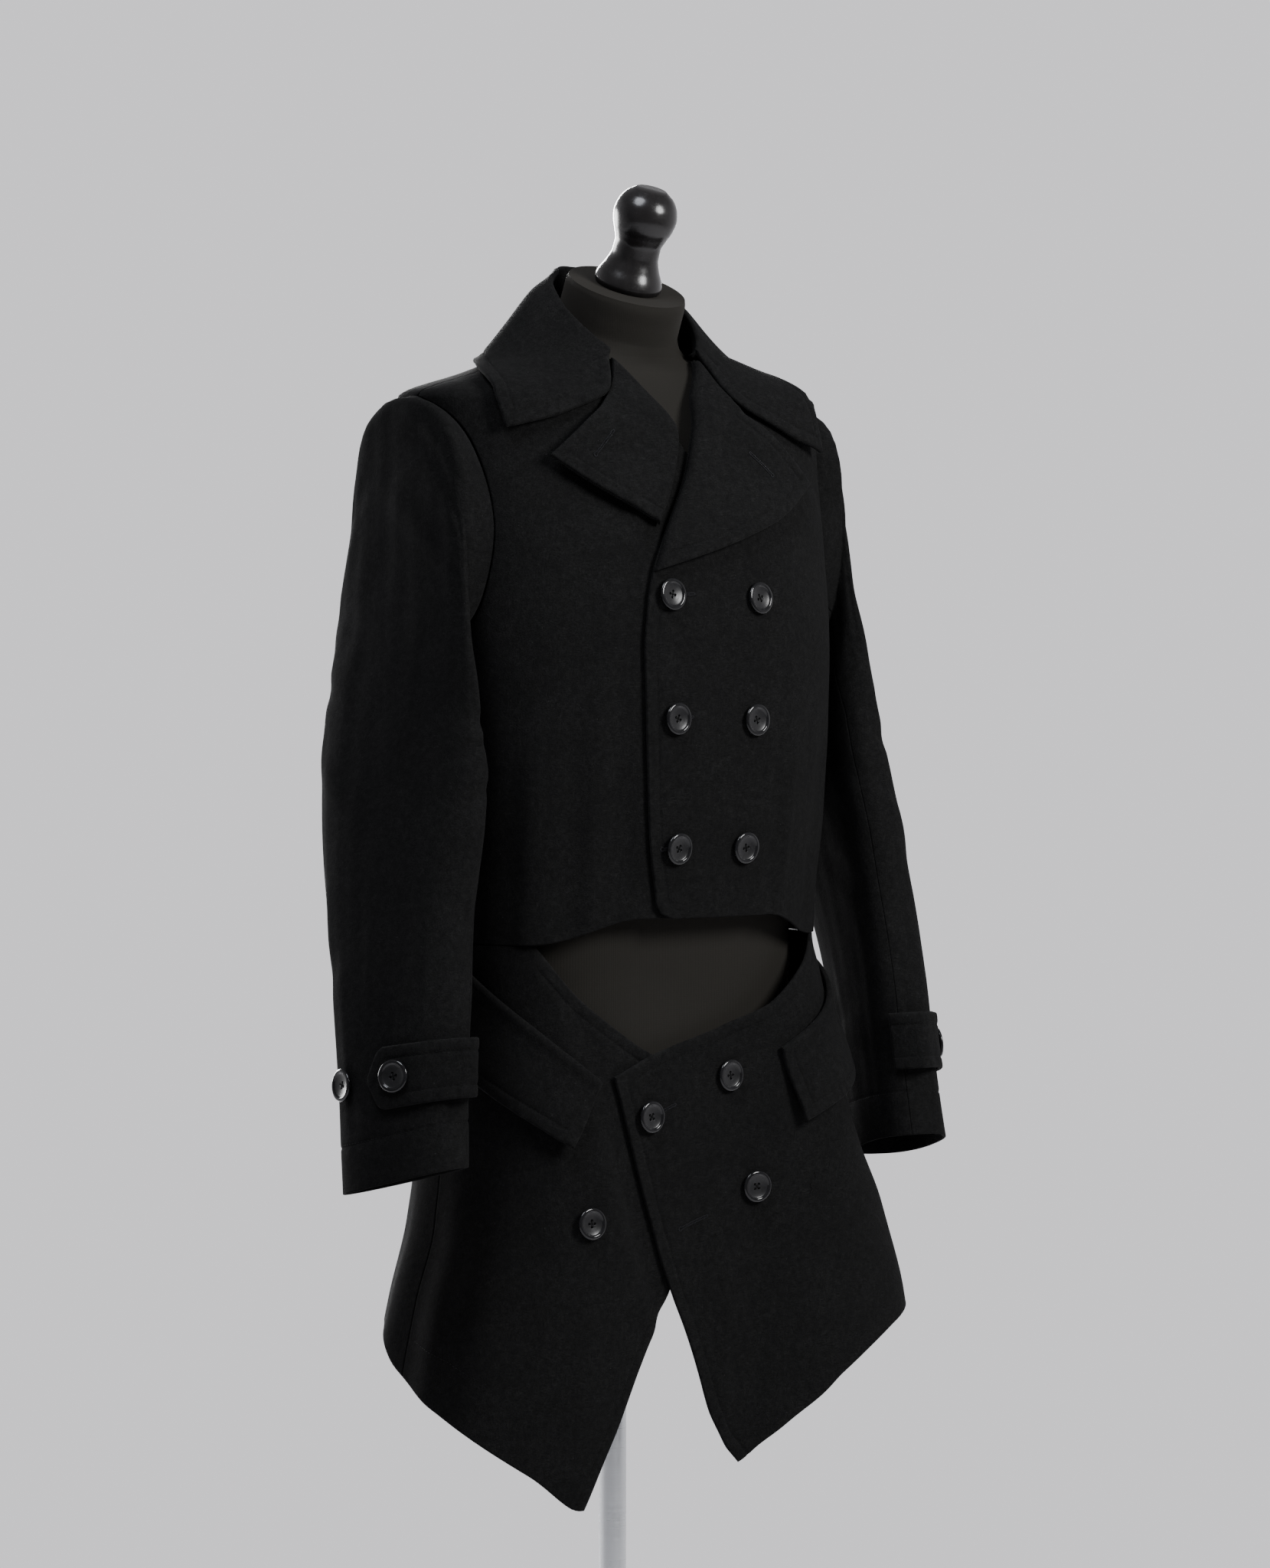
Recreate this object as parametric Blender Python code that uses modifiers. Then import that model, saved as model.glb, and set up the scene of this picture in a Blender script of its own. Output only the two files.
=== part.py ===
"""Double-breasted wool coat with a cropped top, an open waist and a split skirt, worn by a dress form on a stand.

Metres, +Z up. The front faces -Y and the wearer's left is +X. The origin is on the floor, under the pole.
A place on the garment is given by its bearing, in degrees from the centre front towards the wearer's left,
and by its height. Sizes called forward are distances in front of the pole, along -Y.
"""

import math

import bmesh
import bpy
import numpy as np
from mathutils import Matrix, Vector

# Cloth
SINGLE = 0.0030          # one layer of melton with its lining
SLEEVE_WALL = 0.0024     # the same, pressed flat in the empty sleeves
DOUBLE = 0.0042          # two layers pressed together: collar, lapels, flaps and straps
LIE_GAP = 0.0013         # between a folded or laid-on piece and the cloth that it lies on
STRAP_GAP = 0.0010       # between a cuff strap and its sleeve
LEAF_GAP = 0.0028        # least clear height of the collar leaf over the jacket
SEW_GAP = 0.0007         # between a button and the cloth that it is sewn to
OVERLAP = 0.0051         # how far the under front is set back behind the over front

# Buttons
BUTTON_RADIUS = 0.0127
BUTTON_HEIGHT = 0.0042
BUTTON_SIDES = 12

# Stand
BASE_RADIUS = 0.190
POLE_RADIUS = 0.0110
FORM_FOOT = 0.760


def columns(names, rows):
    """A table with named columns."""
    return dict(zip(names.split(), np.array(rows, float).T))


# The jacket's outside: rings from the waist up to the neck. The drops lower a ring at its front and back.
JACKET = columns("height front_drop back_drop half_width front back power", [
    (0.990, 0.000, 0.000, 0.1750, 0.1200, 0.1000, 2.30),
    (1.022, 0.000, 0.000, 0.1755, 0.1205, 0.1005, 2.30),
    (1.060, 0.000, 0.000, 0.1765, 0.1225, 0.1025, 2.30),
    (1.120, 0.000, 0.000, 0.1790, 0.1280, 0.1080, 2.40),
    (1.200, 0.000, 0.000, 0.1820, 0.1320, 0.1160, 2.50),
    (1.270, 0.000, 0.000, 0.1860, 0.1310, 0.1220, 2.45),
    (1.330, 0.000, 0.000, 0.1870, 0.1240, 0.1250, 2.35),
    (1.390, 0.004, 0.000, 0.1900, 0.1060, 0.1220, 2.30),
    (1.430, 0.010, 0.003, 0.1940, 0.0930, 0.1120, 2.25),
    (1.452, 0.018, 0.006, 0.1970, 0.0840, 0.1020, 2.20),
    (1.472, 0.020, 0.004, 0.1370, 0.0710, 0.0860, 2.10),
    (1.492, 0.016, -0.006, 0.0740, 0.0600, 0.0700, 2.00),
])

# The skirt's outside: rings from the hem up to the waist. The recess is how far the centre front is drawn in.
SKIRT = columns("height right left front back recess power right_power left_power", [
    (0.560, 0.2260, 0.3100, 0.1180, 0.1300, 0.022, 2.35, 2.35, 3.30),
    (0.700, 0.2060, 0.2720, 0.1200, 0.1260, 0.020, 2.40, 2.40, 3.30),
    (0.740, 0.1960, 0.2600, 0.1200, 0.1240, 0.019, 2.40, 2.40, 3.40),
    (0.800, 0.1750, 0.2360, 0.1200, 0.1220, 0.018, 2.40, 2.40, 3.45),
    (0.850, 0.1690, 0.2130, 0.1200, 0.1180, 0.017, 2.40, 2.40, 3.30),
    (0.920, 0.1700, 0.1950, 0.1200, 0.1110, 0.016, 2.40, 2.40, 2.80),
    (0.990, 0.1745, 0.1830, 0.1205, 0.1030, 0.018, 2.35, 2.35, 2.40),
    (1.022, 0.1755, 0.1755, 0.1205, 0.1005, 0.018, 2.30, 2.30, 2.30),
    (1.060, 0.1765, 0.1765, 0.1225, 0.1025, 0.018, 2.30, 2.30, 2.30),
])
RECESS_FULL = 22.0       # bearing up to which the skirt's recess is full
RECESS_END = 56.0        # bearing where it has faded out

# The dress form: rings from its foot up to the root of the neck
FORM = columns("height half_width front back power", [
    (0.7600, 0.1480, 0.0840, 0.0940, 2.20),
    (0.8000, 0.1540, 0.0900, 0.1010, 2.25),
    (0.8700, 0.1580, 0.0930, 0.1020, 2.35),
    (0.9400, 0.1590, 0.0930, 0.0960, 2.40),
    (1.0100, 0.1600, 0.0920, 0.0900, 2.45),
    (1.0700, 0.1580, 0.0930, 0.0880, 2.40),
    (1.1500, 0.1610, 0.1030, 0.0960, 2.35),
    (1.2500, 0.1660, 0.1110, 0.1060, 2.30),
    (1.3200, 0.1650, 0.1040, 0.1090, 2.25),
    (1.3700, 0.1620, 0.0900, 0.1050, 2.20),
    (1.4100, 0.1600, 0.0770, 0.0950, 2.15),
    (1.4408, 0.1572, 0.0660, 0.0830, 2.10),
    (1.4613, 0.1475, 0.0590, 0.0720, 2.05),
    (1.4713, 0.1255, 0.0550, 0.0660, 2.00),
    (1.4793, 0.0990, 0.0500, 0.0620, 2.00),
    (1.4850, 0.0640, 0.0510, 0.0560, 2.00),
])
# The neck leans forward: its rings stand on a tilted axis
NECK = [(0.0530, 0.0500), (0.0680, 0.0492), (0.0820, 0.0490), (0.0865, 0.0478)]
NECK_ROOT = (-0.0145, 1.462)  # forward, height
NECK_LEAN = 22.5             # degrees
FORM_SIDES = 32

# The turned knob on the neck: height above the neck cap and radius
KNOB = [(0.0003, 0.0262), (0.004, 0.0275), (0.009, 0.0262), (0.018, 0.0220), (0.028, 0.0190), (0.036, 0.0188),
        (0.044, 0.0212), (0.052, 0.0243), (0.0605, 0.0257), (0.069, 0.0240), (0.0765, 0.0195), (0.0820, 0.0125)]
POLE = [(0.0303, POLE_RADIUS), (FORM_FOOT - 0.0003, POLE_RADIUS)]
BASE = [(0.0, BASE_RADIUS - 0.0015), (0.0015, BASE_RADIUS), (0.0105, BASE_RADIUS), (0.0130, BASE_RADIUS - 0.0030),
        (0.0165, 0.060), (0.0190, 0.034), (0.0240, 0.024), (0.0290, 0.022), (0.0300, 0.0205)]

# The armhole, round from the shoulder point by the front: its place on the jacket
ARMHOLE = columns("round height bearing", [
    (0, 1.4520, 89.0),
    (20, 1.4410, 82.5),
    (45, 1.4170, 76.0),
    (90, 1.3430, 69.5),
    (125, 1.2900, 72.5),
    (150, 1.2640, 79.0),
    (180, 1.2500, 92.5),
    (210, 1.2640, 105.5),
    (235, 1.2900, 113.0),
    (270, 1.3430, 117.0),
    (315, 1.4170, 110.5),
    (340, 1.4410, 101.0),
    (360, 1.4520, 90.2),
])
ARM_STEPS = (0, 10, 20, 32, 45, 67, 90, 107, 125, 137, 150, 165, 180)

# The sleeve: rings from the armhole to the cuff, each by its outer and inner point, its middle and its half depth.
# The turn faces the outer side forward, and the rise lifts the front edge.
SLEEVE = columns("out_x out_z in_x in_z forward half_depth turn rise", [
    (0.2015, 1.4495, 0.1910, 1.2440, -0.002, 0.0680, 0, 0.000),
    (0.2055, 1.4350, 0.1900, 1.2390, -0.006, 0.0700, 0, 0.000),
    (0.2090, 1.3900, 0.1885, 1.2290, -0.008, 0.0740, 0, 0.000),
    (0.2100, 1.3350, 0.1885, 1.2150, -0.010, 0.0800, 1, 0.000),
    (0.2155, 1.2700, 0.1885, 1.1920, -0.006, 0.0850, 3, 0.000),
    (0.2285, 1.2100, 0.1890, 1.1600, 0.001, 0.0860, 7, 0.000),
    (0.2450, 1.1400, 0.1950, 1.1150, 0.012, 0.0810, 10, 0.001),
    (0.2668, 1.0500, 0.2055, 1.0450, 0.030, 0.0660, 15, 0.004),
    (0.2805, 0.9800, 0.2140, 0.9780, 0.047, 0.0575, 18, 0.008),
    (0.2868, 0.9100, 0.2215, 0.9100, 0.058, 0.0535, 19, 0.010),
    (0.2915, 0.8440, 0.2255, 0.8440, 0.066, 0.0510, 20, 0.0125),
])
SEAM_FRONT = 125             # where the sleeve's seams run, round from its outer side by the front
SEAM_BACK = 292
SLEEVE_SEAM_GAP = 0.9        # half of the gap in those seams, in degrees round the sleeve
LEFT_HEAD = 0.84             # the left sleeve's head falls in at its front: its half depth there as a share
# How much further out the left sleeve's outer side hangs than the right one's, by share of the way down, and how much
# further in its inner side
LEFT_SHARES = (0.0, 0.1, 0.2, 0.3, 0.4, 0.5, 0.6, 0.7, 0.8, 0.9, 1.0)
LEFT_OUTER = (0.0, -0.0010, -0.0010, 0.0010, 0.0055, 0.0075, 0.0070, 0.0020, -0.0050, -0.0090, -0.0065)
LEFT_INNER = (0.0, 0.0, 0.0, 0.0, 0.0, 0.0, 0.0, -0.0010, -0.0050, -0.0085, -0.0085)

# The jacket front's edge: the overlap up to the break, then the roll line of the lapel
FRONT_EDGE = columns("height x", [
    (1.022, -0.0500),
    (1.041, -0.0515),
    (1.070, -0.0560),
    (1.120, -0.0630),
    (1.190, -0.0680),
    (1.250, -0.0690),
    (1.290, -0.0650),
    (1.312, -0.0590),
    (1.344, -0.0434),
    (1.393, -0.0120),
    (1.440, 0.0090),
    (1.470, 0.0215),
    (1.492, 0.0420),
])
SIDE_SEAM = 93.0             # bearing of the side seams
SHOULDER_SEAM = 89.6         # bearing of the shoulder seams
HALF_GAP = 0.06              # half of a seam's gap, in degrees of bearing
WAIST = 1.0220               # height of the waist seam
HEM_FRONT = 1.0410           # height of the jacket's hem at the centre front
HEM_LEVEL = 30.0             # bearing up to which the jacket's hem is level
HEM_JOIN = 62.0              # bearing where it meets the waist seam
SEAM_ROWS = (1.0222, 1.042, 1.070, 1.105, 1.145, 1.185, 1.220)
SHOULDER_ROWS = (1.458, 1.469, 1.481, 1.492)

# Lapels, as places on the jacket: x towards the wearer's own lapel side, and height
LEFT_LAPEL = {
    "roll": [(0.0420, 1.4920), (0.0215, 1.4700), (0.0090, 1.4400), (-0.0120, 1.3930), (-0.0434, 1.3440),
             (-0.0580, 1.3140)],
    "gorge": [(0.0420, 1.4920), (0.0530, 1.4720), (0.0645, 1.4500)],
    "point": [(0.0645, 1.4500), (0.0955, 1.4170), (0.1265, 1.3840)],
    "lower": [(-0.0580, 1.3140), (0.0330, 1.3395), (0.0800, 1.3565), (0.1265, 1.3840)],
}
RIGHT_LAPEL = {
    "roll": [(0.0420, 1.4920), (0.0215, 1.4700), (0.0090, 1.4420), (0.0270, 1.3830), (0.0460, 1.3520)],
    "gorge": [(0.0420, 1.4920), (0.0550, 1.4740), (0.0700, 1.4590)],
    "point": [(0.0700, 1.4590), (0.1010, 1.4310), (0.1310, 1.4040)],
    "lower": [(0.0460, 1.3520), (0.0740, 1.3640), (0.1000, 1.3800), (0.1310, 1.4040)],
}

# The collar, from the gorge round to the centre back: bearing, distance from the neck's middle and height of its
# seam with the jacket, its fold, two places down the leaf, and the leaf's edge
COLLAR_COLUMNS = ("along seam fold_at fold_out fold_z upper_at upper_out upper_z lower_at lower_out lower_z "
                  "edge_at edge_out edge_z")
COLLAR_BACK = [
    (0.50, 95.0, 95.0, 0.0550, 1.5440, 97.0, 0.0740, 1.5330, 99.0, 0.0985, 1.5080, 101.0, 0.1245, 1.4800),
    (0.75, 137.0, 137.0, 0.0430, 1.5590, 137.0, 0.0600, 1.5450, 137.0, 0.0815, 1.5140, 137.0, 0.1015, 1.4780),
    (1.00, 180.0, 180.0, 0.0600, 1.5650, 180.0, 0.0750, 1.5480, 180.0, 0.0900, 1.5160, 180.0, 0.1040, 1.4740),
]
RIGHT_COLLAR = columns(COLLAR_COLUMNS, [
    (0.00, 40.5, 40.0, 0.0665, 1.4940, 41.0, 0.1082, 1.4543, 54.5, 0.1400, 1.4370, 67.0, 0.1755, 1.4242),
    (0.12, 50.0, 52.0, 0.0660, 1.5045, 55.0, 0.0940, 1.4785, 63.0, 0.1310, 1.4640, 71.5, 0.1705, 1.4470),
    (0.30, 68.0, 70.0, 0.0640, 1.5230, 74.0, 0.0850, 1.5040, 79.0, 0.1150, 1.4860, 84.0, 0.1485, 1.4740),
] + COLLAR_BACK)
LEFT_COLLAR = columns(COLLAR_COLUMNS, [
    (0.00, 40.5, 40.0, 0.0668, 1.4945, 38.2, 0.1050, 1.4445, 53.5, 0.1412, 1.4211, 64.8, 0.1669, 1.4080),
    (0.12, 50.0, 52.0, 0.0660, 1.5040, 54.0, 0.0940, 1.4730, 63.0, 0.1275, 1.4545, 71.5, 0.1545, 1.4410),
    (0.30, 68.0, 70.0, 0.0640, 1.5215, 74.0, 0.0850, 1.5000, 79.0, 0.1130, 1.4830, 84.0, 0.1430, 1.4710),
] + COLLAR_BACK)

# The skirt's edges as places: x and height of the two fronts, and bearing and height of the hem
LEFT_FRONT_EDGE = [(0.0500, 0.600), (0.0325, 0.621), (0.023, 0.638), (0.0086, 0.675), (-0.006, 0.712), (-0.022, 0.745),
                   (-0.040, 0.795), (-0.062, 0.860), (-0.081, 0.918)]
RIGHT_FRONT_EDGE = [(-0.1125, 0.5775), (-0.094, 0.611), (-0.0744, 0.646), (-0.0553, 0.680), (-0.0358, 0.715),
                    (-0.012, 0.757), (0.018, 0.815), (0.040, 0.860), (0.060, 0.900)]
LEFT_TOP_EDGE = [(-0.081, 0.918), (-0.0416, 0.9335), (0.0277, 0.953), (0.0725, 0.967), (0.116, 0.998)]
RIGHT_TOP_EDGE = [(0.060, 0.900), (0.010, 0.914), (-0.0387, 0.9335), (-0.107, 0.977)]
CUT_OUT_END = 61.0           # bearing where the skirt's top edge leaves the waist seam
HEM = columns("bearing height", [
    (-180, 0.7280),
    (-115, 0.7190),
    (-104, 0.7080),
    (-96, 0.6870),
    (-84, 0.6645),
    (-72, 0.6415),
    (-60, 0.6095),
    (-48, 0.5795),
    (16, 0.5850),
    (24, 0.5985),
    (32, 0.6110),
    (40, 0.6300),
    (52, 0.6690),
    (64, 0.7050),
    (72, 0.7140),
    (115, 0.7280),
    (180, 0.7280),
])

# Pocket flaps by bearing and height: top front, low front, low rear and top rear corner
FLAPS = {
    "right": [(-43.0, 0.9150), (-51.5, 0.8640), (-84.0, 0.9300), (-80.0, 1.0050)],
    "left": [(38.5, 0.9340), (43.0, 0.8740), (84.0, 0.9300), (81.0, 1.0040)],
}

# Buttons, by x and height
JACKET_BUTTONS = [(-0.045, 1.296), (0.045, 1.293), (-0.042, 1.199), (0.039, 1.197), (-0.036, 1.097), (0.033, 1.096)]
SKIRT_BUTTONS = [(-0.046, 0.885), (0.035, 0.914), (0.062, 0.824)]
UNDER_BUTTON = (-0.104, 0.804)

# Cuff straps, round from the sleeve's outer side by the front
STRAP_TIP = 10.0
STRAP_END = 134.0
STRAP_MIDDLE = 0.9240        # height of its middle
STRAP_HALF = 0.0240          # half of its height
STRAP_LOOP = (104.0, 20.0, 0.0060)   # where it stands off the sleeve's front edge, how far round, and by how much

# Soft folds that show from a step away: bearing, half width in degrees, depth, and the heights between which it runs
JACKET_FOLDS = [(-38, 8, -0.0035, 1.04, 1.27), (-58, 10, 0.0030, 1.03, 1.22), (54, 9, -0.0030, 1.03, 1.24),
                (140, 10, 0.0030, 1.03, 1.30), (218, 11, -0.0030, 1.03, 1.28)]
SKIRT_FOLDS = [(-70, 11, 0.0050, 0.56, 0.88), (-92, 10, -0.0050, 0.58, 0.86), (62, 12, 0.0040, 0.56, 0.84),
               (140, 15, -0.0060, 0.60, 0.96), (172, 13, 0.0050, 0.60, 0.94), (215, 15, -0.0060, 0.60, 0.95)]


def curve(at, keys, values):
    """Smooth curve through a table's points that never overshoots them."""
    keys, values, at = np.asarray(keys, float), np.asarray(values, float), np.asarray(at, float)
    step = np.diff(keys)
    slope = np.diff(values) / step
    tangent = np.zeros_like(values)
    tangent[0], tangent[-1] = slope[0], slope[-1]
    for i in range(1, len(keys) - 1):
        if slope[i - 1] * slope[i] > 0:
            w1, w2 = 2 * step[i] + step[i - 1], step[i] + 2 * step[i - 1]
            tangent[i] = (w1 + w2) / (w1 / slope[i - 1] + w2 / slope[i])
    at = np.clip(at, keys[0], keys[-1])
    i = np.clip(np.searchsorted(keys, at, side="right") - 1, 0, len(step) - 1)
    s = (at - keys[i]) / step[i]
    return ((2 * s**3 - 3 * s**2 + 1) * values[i] + (s**3 - 2 * s**2 + s) * step[i] * tangent[i]
            + (3 * s**2 - 2 * s**3) * values[i + 1] + (s**3 - s**2) * step[i] * tangent[i + 1])


def through(points, share, degrees=False):
    """Points at shares of the way along a line of places, smoothly. Places are x or bearing, and height."""
    points = np.asarray(points, float)
    scale = np.array([0.0026 if degrees else 1.0, 1.0])
    steps = np.linalg.norm(np.diff(points, axis=0) * scale, axis=1)
    keys = np.concatenate([[0], np.cumsum(steps)])
    keys = keys / keys[-1]
    return np.stack([curve(share, keys, points[:, k]) for k in range(2)], -1)


def ease(x):
    """0 below 0, 1 above 1 and a smooth step between."""
    x = np.clip(x, 0, 1)
    return x * x * (3 - 2 * x)


def row_of(table, height):
    return {name: curve(height, table["height"], values) for name, values in table.items()}


def on_ring(bearing, half_width, depth, power):
    """x and forward of a point on a rounded oval, at a bearing from its centre."""
    a = np.radians(bearing)
    sx, cy = np.sin(a), np.cos(a)
    radius = (np.abs(sx / half_width) ** power + np.abs(cy / depth) ** power) ** (-1 / power)
    return radius * sx, radius * cy


def fold_depth(folds, bearing, height):
    """How far the soft folds push the cloth out."""
    push = np.zeros(np.broadcast(bearing, height).shape)
    for centre, half_width, depth, low, high in folds:
        across = np.clip(np.abs((bearing - centre + 180) % 360 - 180) / half_width, 0, 1)
        along = ease((high - height) / (0.6 * (high - low)))
        push = push + depth * (0.5 + 0.5 * np.cos(math.pi * across)) * along
    return push


def jacket(bearing, height):
    """The jacket's outside."""
    row = row_of(JACKET, height)
    forward = np.cos(np.radians(bearing))
    depth = np.where(forward > 0, row["front"], row["back"])
    push = fold_depth(JACKET_FOLDS, bearing, height)
    x, f = on_ring(bearing, row["half_width"] + push, depth + push, row["power"])
    drop = np.where(forward > 0, row["front_drop"], row["back_drop"]) * forward**2
    return np.stack([x, -f, height - drop + 0 * x], -1)


def skirt(bearing, height):
    """The skirt's outside."""
    row = row_of(SKIRT, height)
    side = (bearing + 180) % 360 - 180
    forward = np.cos(np.radians(bearing))
    width = np.where(side > 0, row["left"], row["right"])
    lateral = ease((side + 25) / 50)
    power = row["right_power"] * (1 - lateral) + row["left_power"] * lateral
    power = np.where(forward > 0, power, row["power"])
    inward = 1 - ease((np.abs(side) - RECESS_FULL) / (RECESS_END - RECESS_FULL))
    depth = np.where(forward > 0, row["front"] - row["recess"] * inward, row["back"])
    push = fold_depth(SKIRT_FOLDS, bearing, height)
    x, f = on_ring(bearing, width + push, depth + push, power)
    return np.stack([x, -f, height + 0 * x], -1)


def facing(surface, bearing, height):
    """The way out of a surface at a point."""
    turn, rise = 0.4, 0.0006
    across = surface(bearing + turn, height) - surface(bearing - turn, height)
    up = surface(bearing, height + rise) - surface(bearing, height - rise)
    out = np.cross(across, up)
    return out / np.linalg.norm(out, axis=-1, keepdims=True)


def bearing_for(surface, x, height):
    """Bearing of the point of the front that lies x to the wearer's left."""
    fan = np.linspace(-89.0, 89.0, 357)
    found = [np.interp(a, surface(fan, np.full(fan.shape, h))[:, 0], fan)
             for a, h in zip(np.ravel(x), np.ravel(height))]
    return np.array(found).reshape(np.shape(x))


def patch(side_a, side_b, start, end):
    """Even patch between two sides that run the same way, closed by a start line and an end line."""
    v = np.linspace(0, 1, len(side_a))[:, None, None]
    u = np.linspace(0, 1, len(start))[None, :, None]
    a, b = np.asarray(side_a)[:, None], np.asarray(side_b)[:, None]
    s, e = np.asarray(start)[None], np.asarray(end)[None]
    corners = ((1 - u) * (1 - v) * a[0, 0] + u * (1 - v) * b[0, 0] + (1 - u) * v * a[-1, 0] + u * v * b[-1, 0])
    return (1 - u) * a + u * b + (1 - v) * s + v * e - corners


def shell(name, net, out, thick, finish):
    """A piece of cloth: a wall of even thickness behind a net of points, square to the way out of each."""
    inner = net - out * thick
    rows, cols = net.shape[:2]
    mesh = bmesh.new()
    outside, inside = [[[mesh.verts.new(p) for p in line] for line in skin] for skin in (net, inner)]
    for j in range(rows - 1):
        for i in range(cols - 1):
            mesh.faces.new([outside[j][i], outside[j][i + 1], outside[j + 1][i + 1], outside[j + 1][i]])
            mesh.faces.new([inside[j][i], inside[j + 1][i], inside[j + 1][i + 1], inside[j][i + 1]])
    for j in (0, rows - 1):
        for i in range(cols - 1):
            mesh.faces.new([outside[j][i], inside[j][i], inside[j][i + 1], outside[j][i + 1]])
    for i in (0, cols - 1):
        for j in range(rows - 1):
            mesh.faces.new([outside[j][i], inside[j][i], inside[j + 1][i], outside[j + 1][i]])
    return add(name, mesh, finish)


def stacked(rings):
    """A closed solid through stacked rings of points, with flat ends."""
    mesh = bmesh.new()
    lines = [[mesh.verts.new(p) for p in ring] for ring in rings]
    count = len(lines[0])
    for low, high in zip(lines, lines[1:]):
        for i in range(count):
            k = (i + 1) % count
            mesh.faces.new([low[i], low[k], high[k], high[i]])
    mesh.faces.new(lines[0][::-1])
    mesh.faces.new(lines[-1])
    return mesh


def material(name, colour, roughness, metallic=0.0):
    made = bpy.data.materials.new(name)
    made.use_nodes = True
    shader = made.node_tree.nodes["Principled BSDF"]
    shader.inputs["Base Color"].default_value = (*colour, 1)
    shader.inputs["Roughness"].default_value = roughness
    shader.inputs["Metallic"].default_value = metallic
    return made


def add(name, mesh, finish):
    """Puts a finished mesh into the scene as one named piece."""
    bmesh.ops.recalc_face_normals(mesh, faces=mesh.faces)
    data = bpy.data.meshes.new(name)
    mesh.to_mesh(data)
    mesh.free()
    data.shade_smooth()
    data.set_sharp_from_angle(angle=math.radians(40))
    data.materials.append(finish)
    piece = bpy.data.objects.new(name, data)
    pieces.objects.link(piece)
    return piece


def turned(name, profile, finish, sides):
    """A turned piece: its profile of (height, radius) stands at +X and runs down the outside."""
    points = [(radius, 0, height) for height, radius in sorted(profile, reverse=True)]
    points = [(0, 0, points[0][2])] + points + [(0, 0, points[-1][2])]
    data = bpy.data.meshes.new(name)
    data.from_pydata(points, [(i, i + 1) for i in range(len(points) - 1)], [])
    data.materials.append(finish)
    piece = bpy.data.objects.new(name, data)
    pieces.objects.link(piece)
    screw = piece.modifiers.new("turn", "SCREW")
    screw.steps = sides
    screw.render_steps = sides
    screw.use_merge_vertices = True
    screw.merge_threshold = 0.00001
    return piece


def armhole(steps):
    """Bearing and height of the armhole's edge."""
    return (curve(steps, ARMHOLE["round"], ARMHOLE["bearing"]), curve(steps, ARMHOLE["round"], ARMHOLE["height"]))


def body_side(steps, gap, shoulder_bearing):
    """Side seam, armhole and shoulder seam of a jacket panel, as bearings and heights from the waist up."""
    arm_bearing, arm_height = armhole(np.array(steps, float))
    bearing = np.concatenate([np.full(len(SEAM_ROWS), SIDE_SEAM + gap), arm_bearing + gap,
                              np.full(len(SHOULDER_ROWS), shoulder_bearing)])
    return bearing, np.concatenate([SEAM_ROWS, arm_height, SHOULDER_ROWS])


def hem_rise(bearing, height):
    """Height of a place on a jacket front once its hem has been lifted at the centre."""
    lift = (HEM_FRONT - WAIST) * (1 - ease((np.abs(bearing) - HEM_LEVEL) / (HEM_JOIN - HEM_LEVEL)))
    return height + lift * (1 - ease((height - WAIST) / 0.09))


def front_net(cols):
    """Bearings and heights of the wearer's left front."""
    far, height = body_side(ARM_STEPS[::-1], -HALF_GAP, SHOULDER_SEAM - HALF_GAP)
    x = curve(height, FRONT_EDGE["height"], FRONT_EDGE["x"])
    near = bearing_for(jacket, x, height)
    u = np.linspace(0, 1, cols)[None]
    bearing = near[:, None] * (1 - u) + far[:, None] * u
    return bearing, hem_rise(bearing, height[:, None] + 0 * u)


def set_back(past_edge, start=0.034, run=0.022):
    """How far the right front lies behind the left one, by how far it is past the left one's edge."""
    return OVERLAP * ease((past_edge + start) / run)


def past_jacket_edge(point):
    """How far a point of the jacket is past the left front's edge."""
    return point[..., 0] - curve(point[..., 2], FRONT_EDGE["height"], FRONT_EDGE["x"])


def skirt_set_back(point):
    """How far the skirt's right front is set back at a point."""
    edge = np.array(LEFT_FRONT_EDGE)
    slope = (edge[-1, 0] - edge[-2, 0]) / (edge[-1, 1] - edge[-2, 1])
    at = curve(point[..., 2], edge[:, 1], edge[:, 0]) + slope * np.maximum(point[..., 2] - edge[-1, 1], 0)
    return set_back(point[..., 0] - at)


def panel(name, surface, bearing, height, thick, lift=0.0):
    """A piece of cloth whose outside lies a lift above a surface."""
    out = facing(surface, bearing, height)
    return shell(name, surface(bearing, height) + out * np.asarray(lift)[..., None], out, thick, wool)


def place_on(surface, x, height, right=False):
    """Bearing of a place given by its x, or by its mirrored x for the wearer's right."""
    return bearing_for(surface, -x if right else x, height)


def lapel(name, lines, right):
    """A lapel: its outline is given on the jacket, and it lies on the front."""
    rows, cols = 11, 8
    v, u = np.linspace(0, 1, rows), np.linspace(0, 1, cols)
    grid = patch(through(lines["roll"], v), through(lines["point"], v), through(lines["gorge"], u),
                 through(lines["lower"], u))
    x, height = grid[..., 0], grid[..., 1]
    bearing = place_on(jacket, x, height, right)
    back = set_back(past_jacket_edge(jacket(bearing, height)), 0.014, 0.014) if right else 0
    return panel(name, jacket, bearing, height, DOUBLE, LIE_GAP + DOUBLE - back)


def clear_of_jacket(points, least):
    """Points moved out of the jacket where they are nearer to it than the least distance."""
    heights = np.linspace(1.380, 1.492, 113)
    moved = []
    for point in points:
        bearing = math.degrees(math.atan2(point[0], -point[1]))
        line = jacket(np.full(heights.shape, bearing), heights)
        out = facing(jacket, np.full(heights.shape, bearing), heights)
        nearest = np.argmin(np.linalg.norm(line - point, axis=1))
        above = np.dot(point - line[nearest], out[nearest])
        moved.append(point + out[nearest] * max(least - above, 0))
    return np.array(moved)


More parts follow.
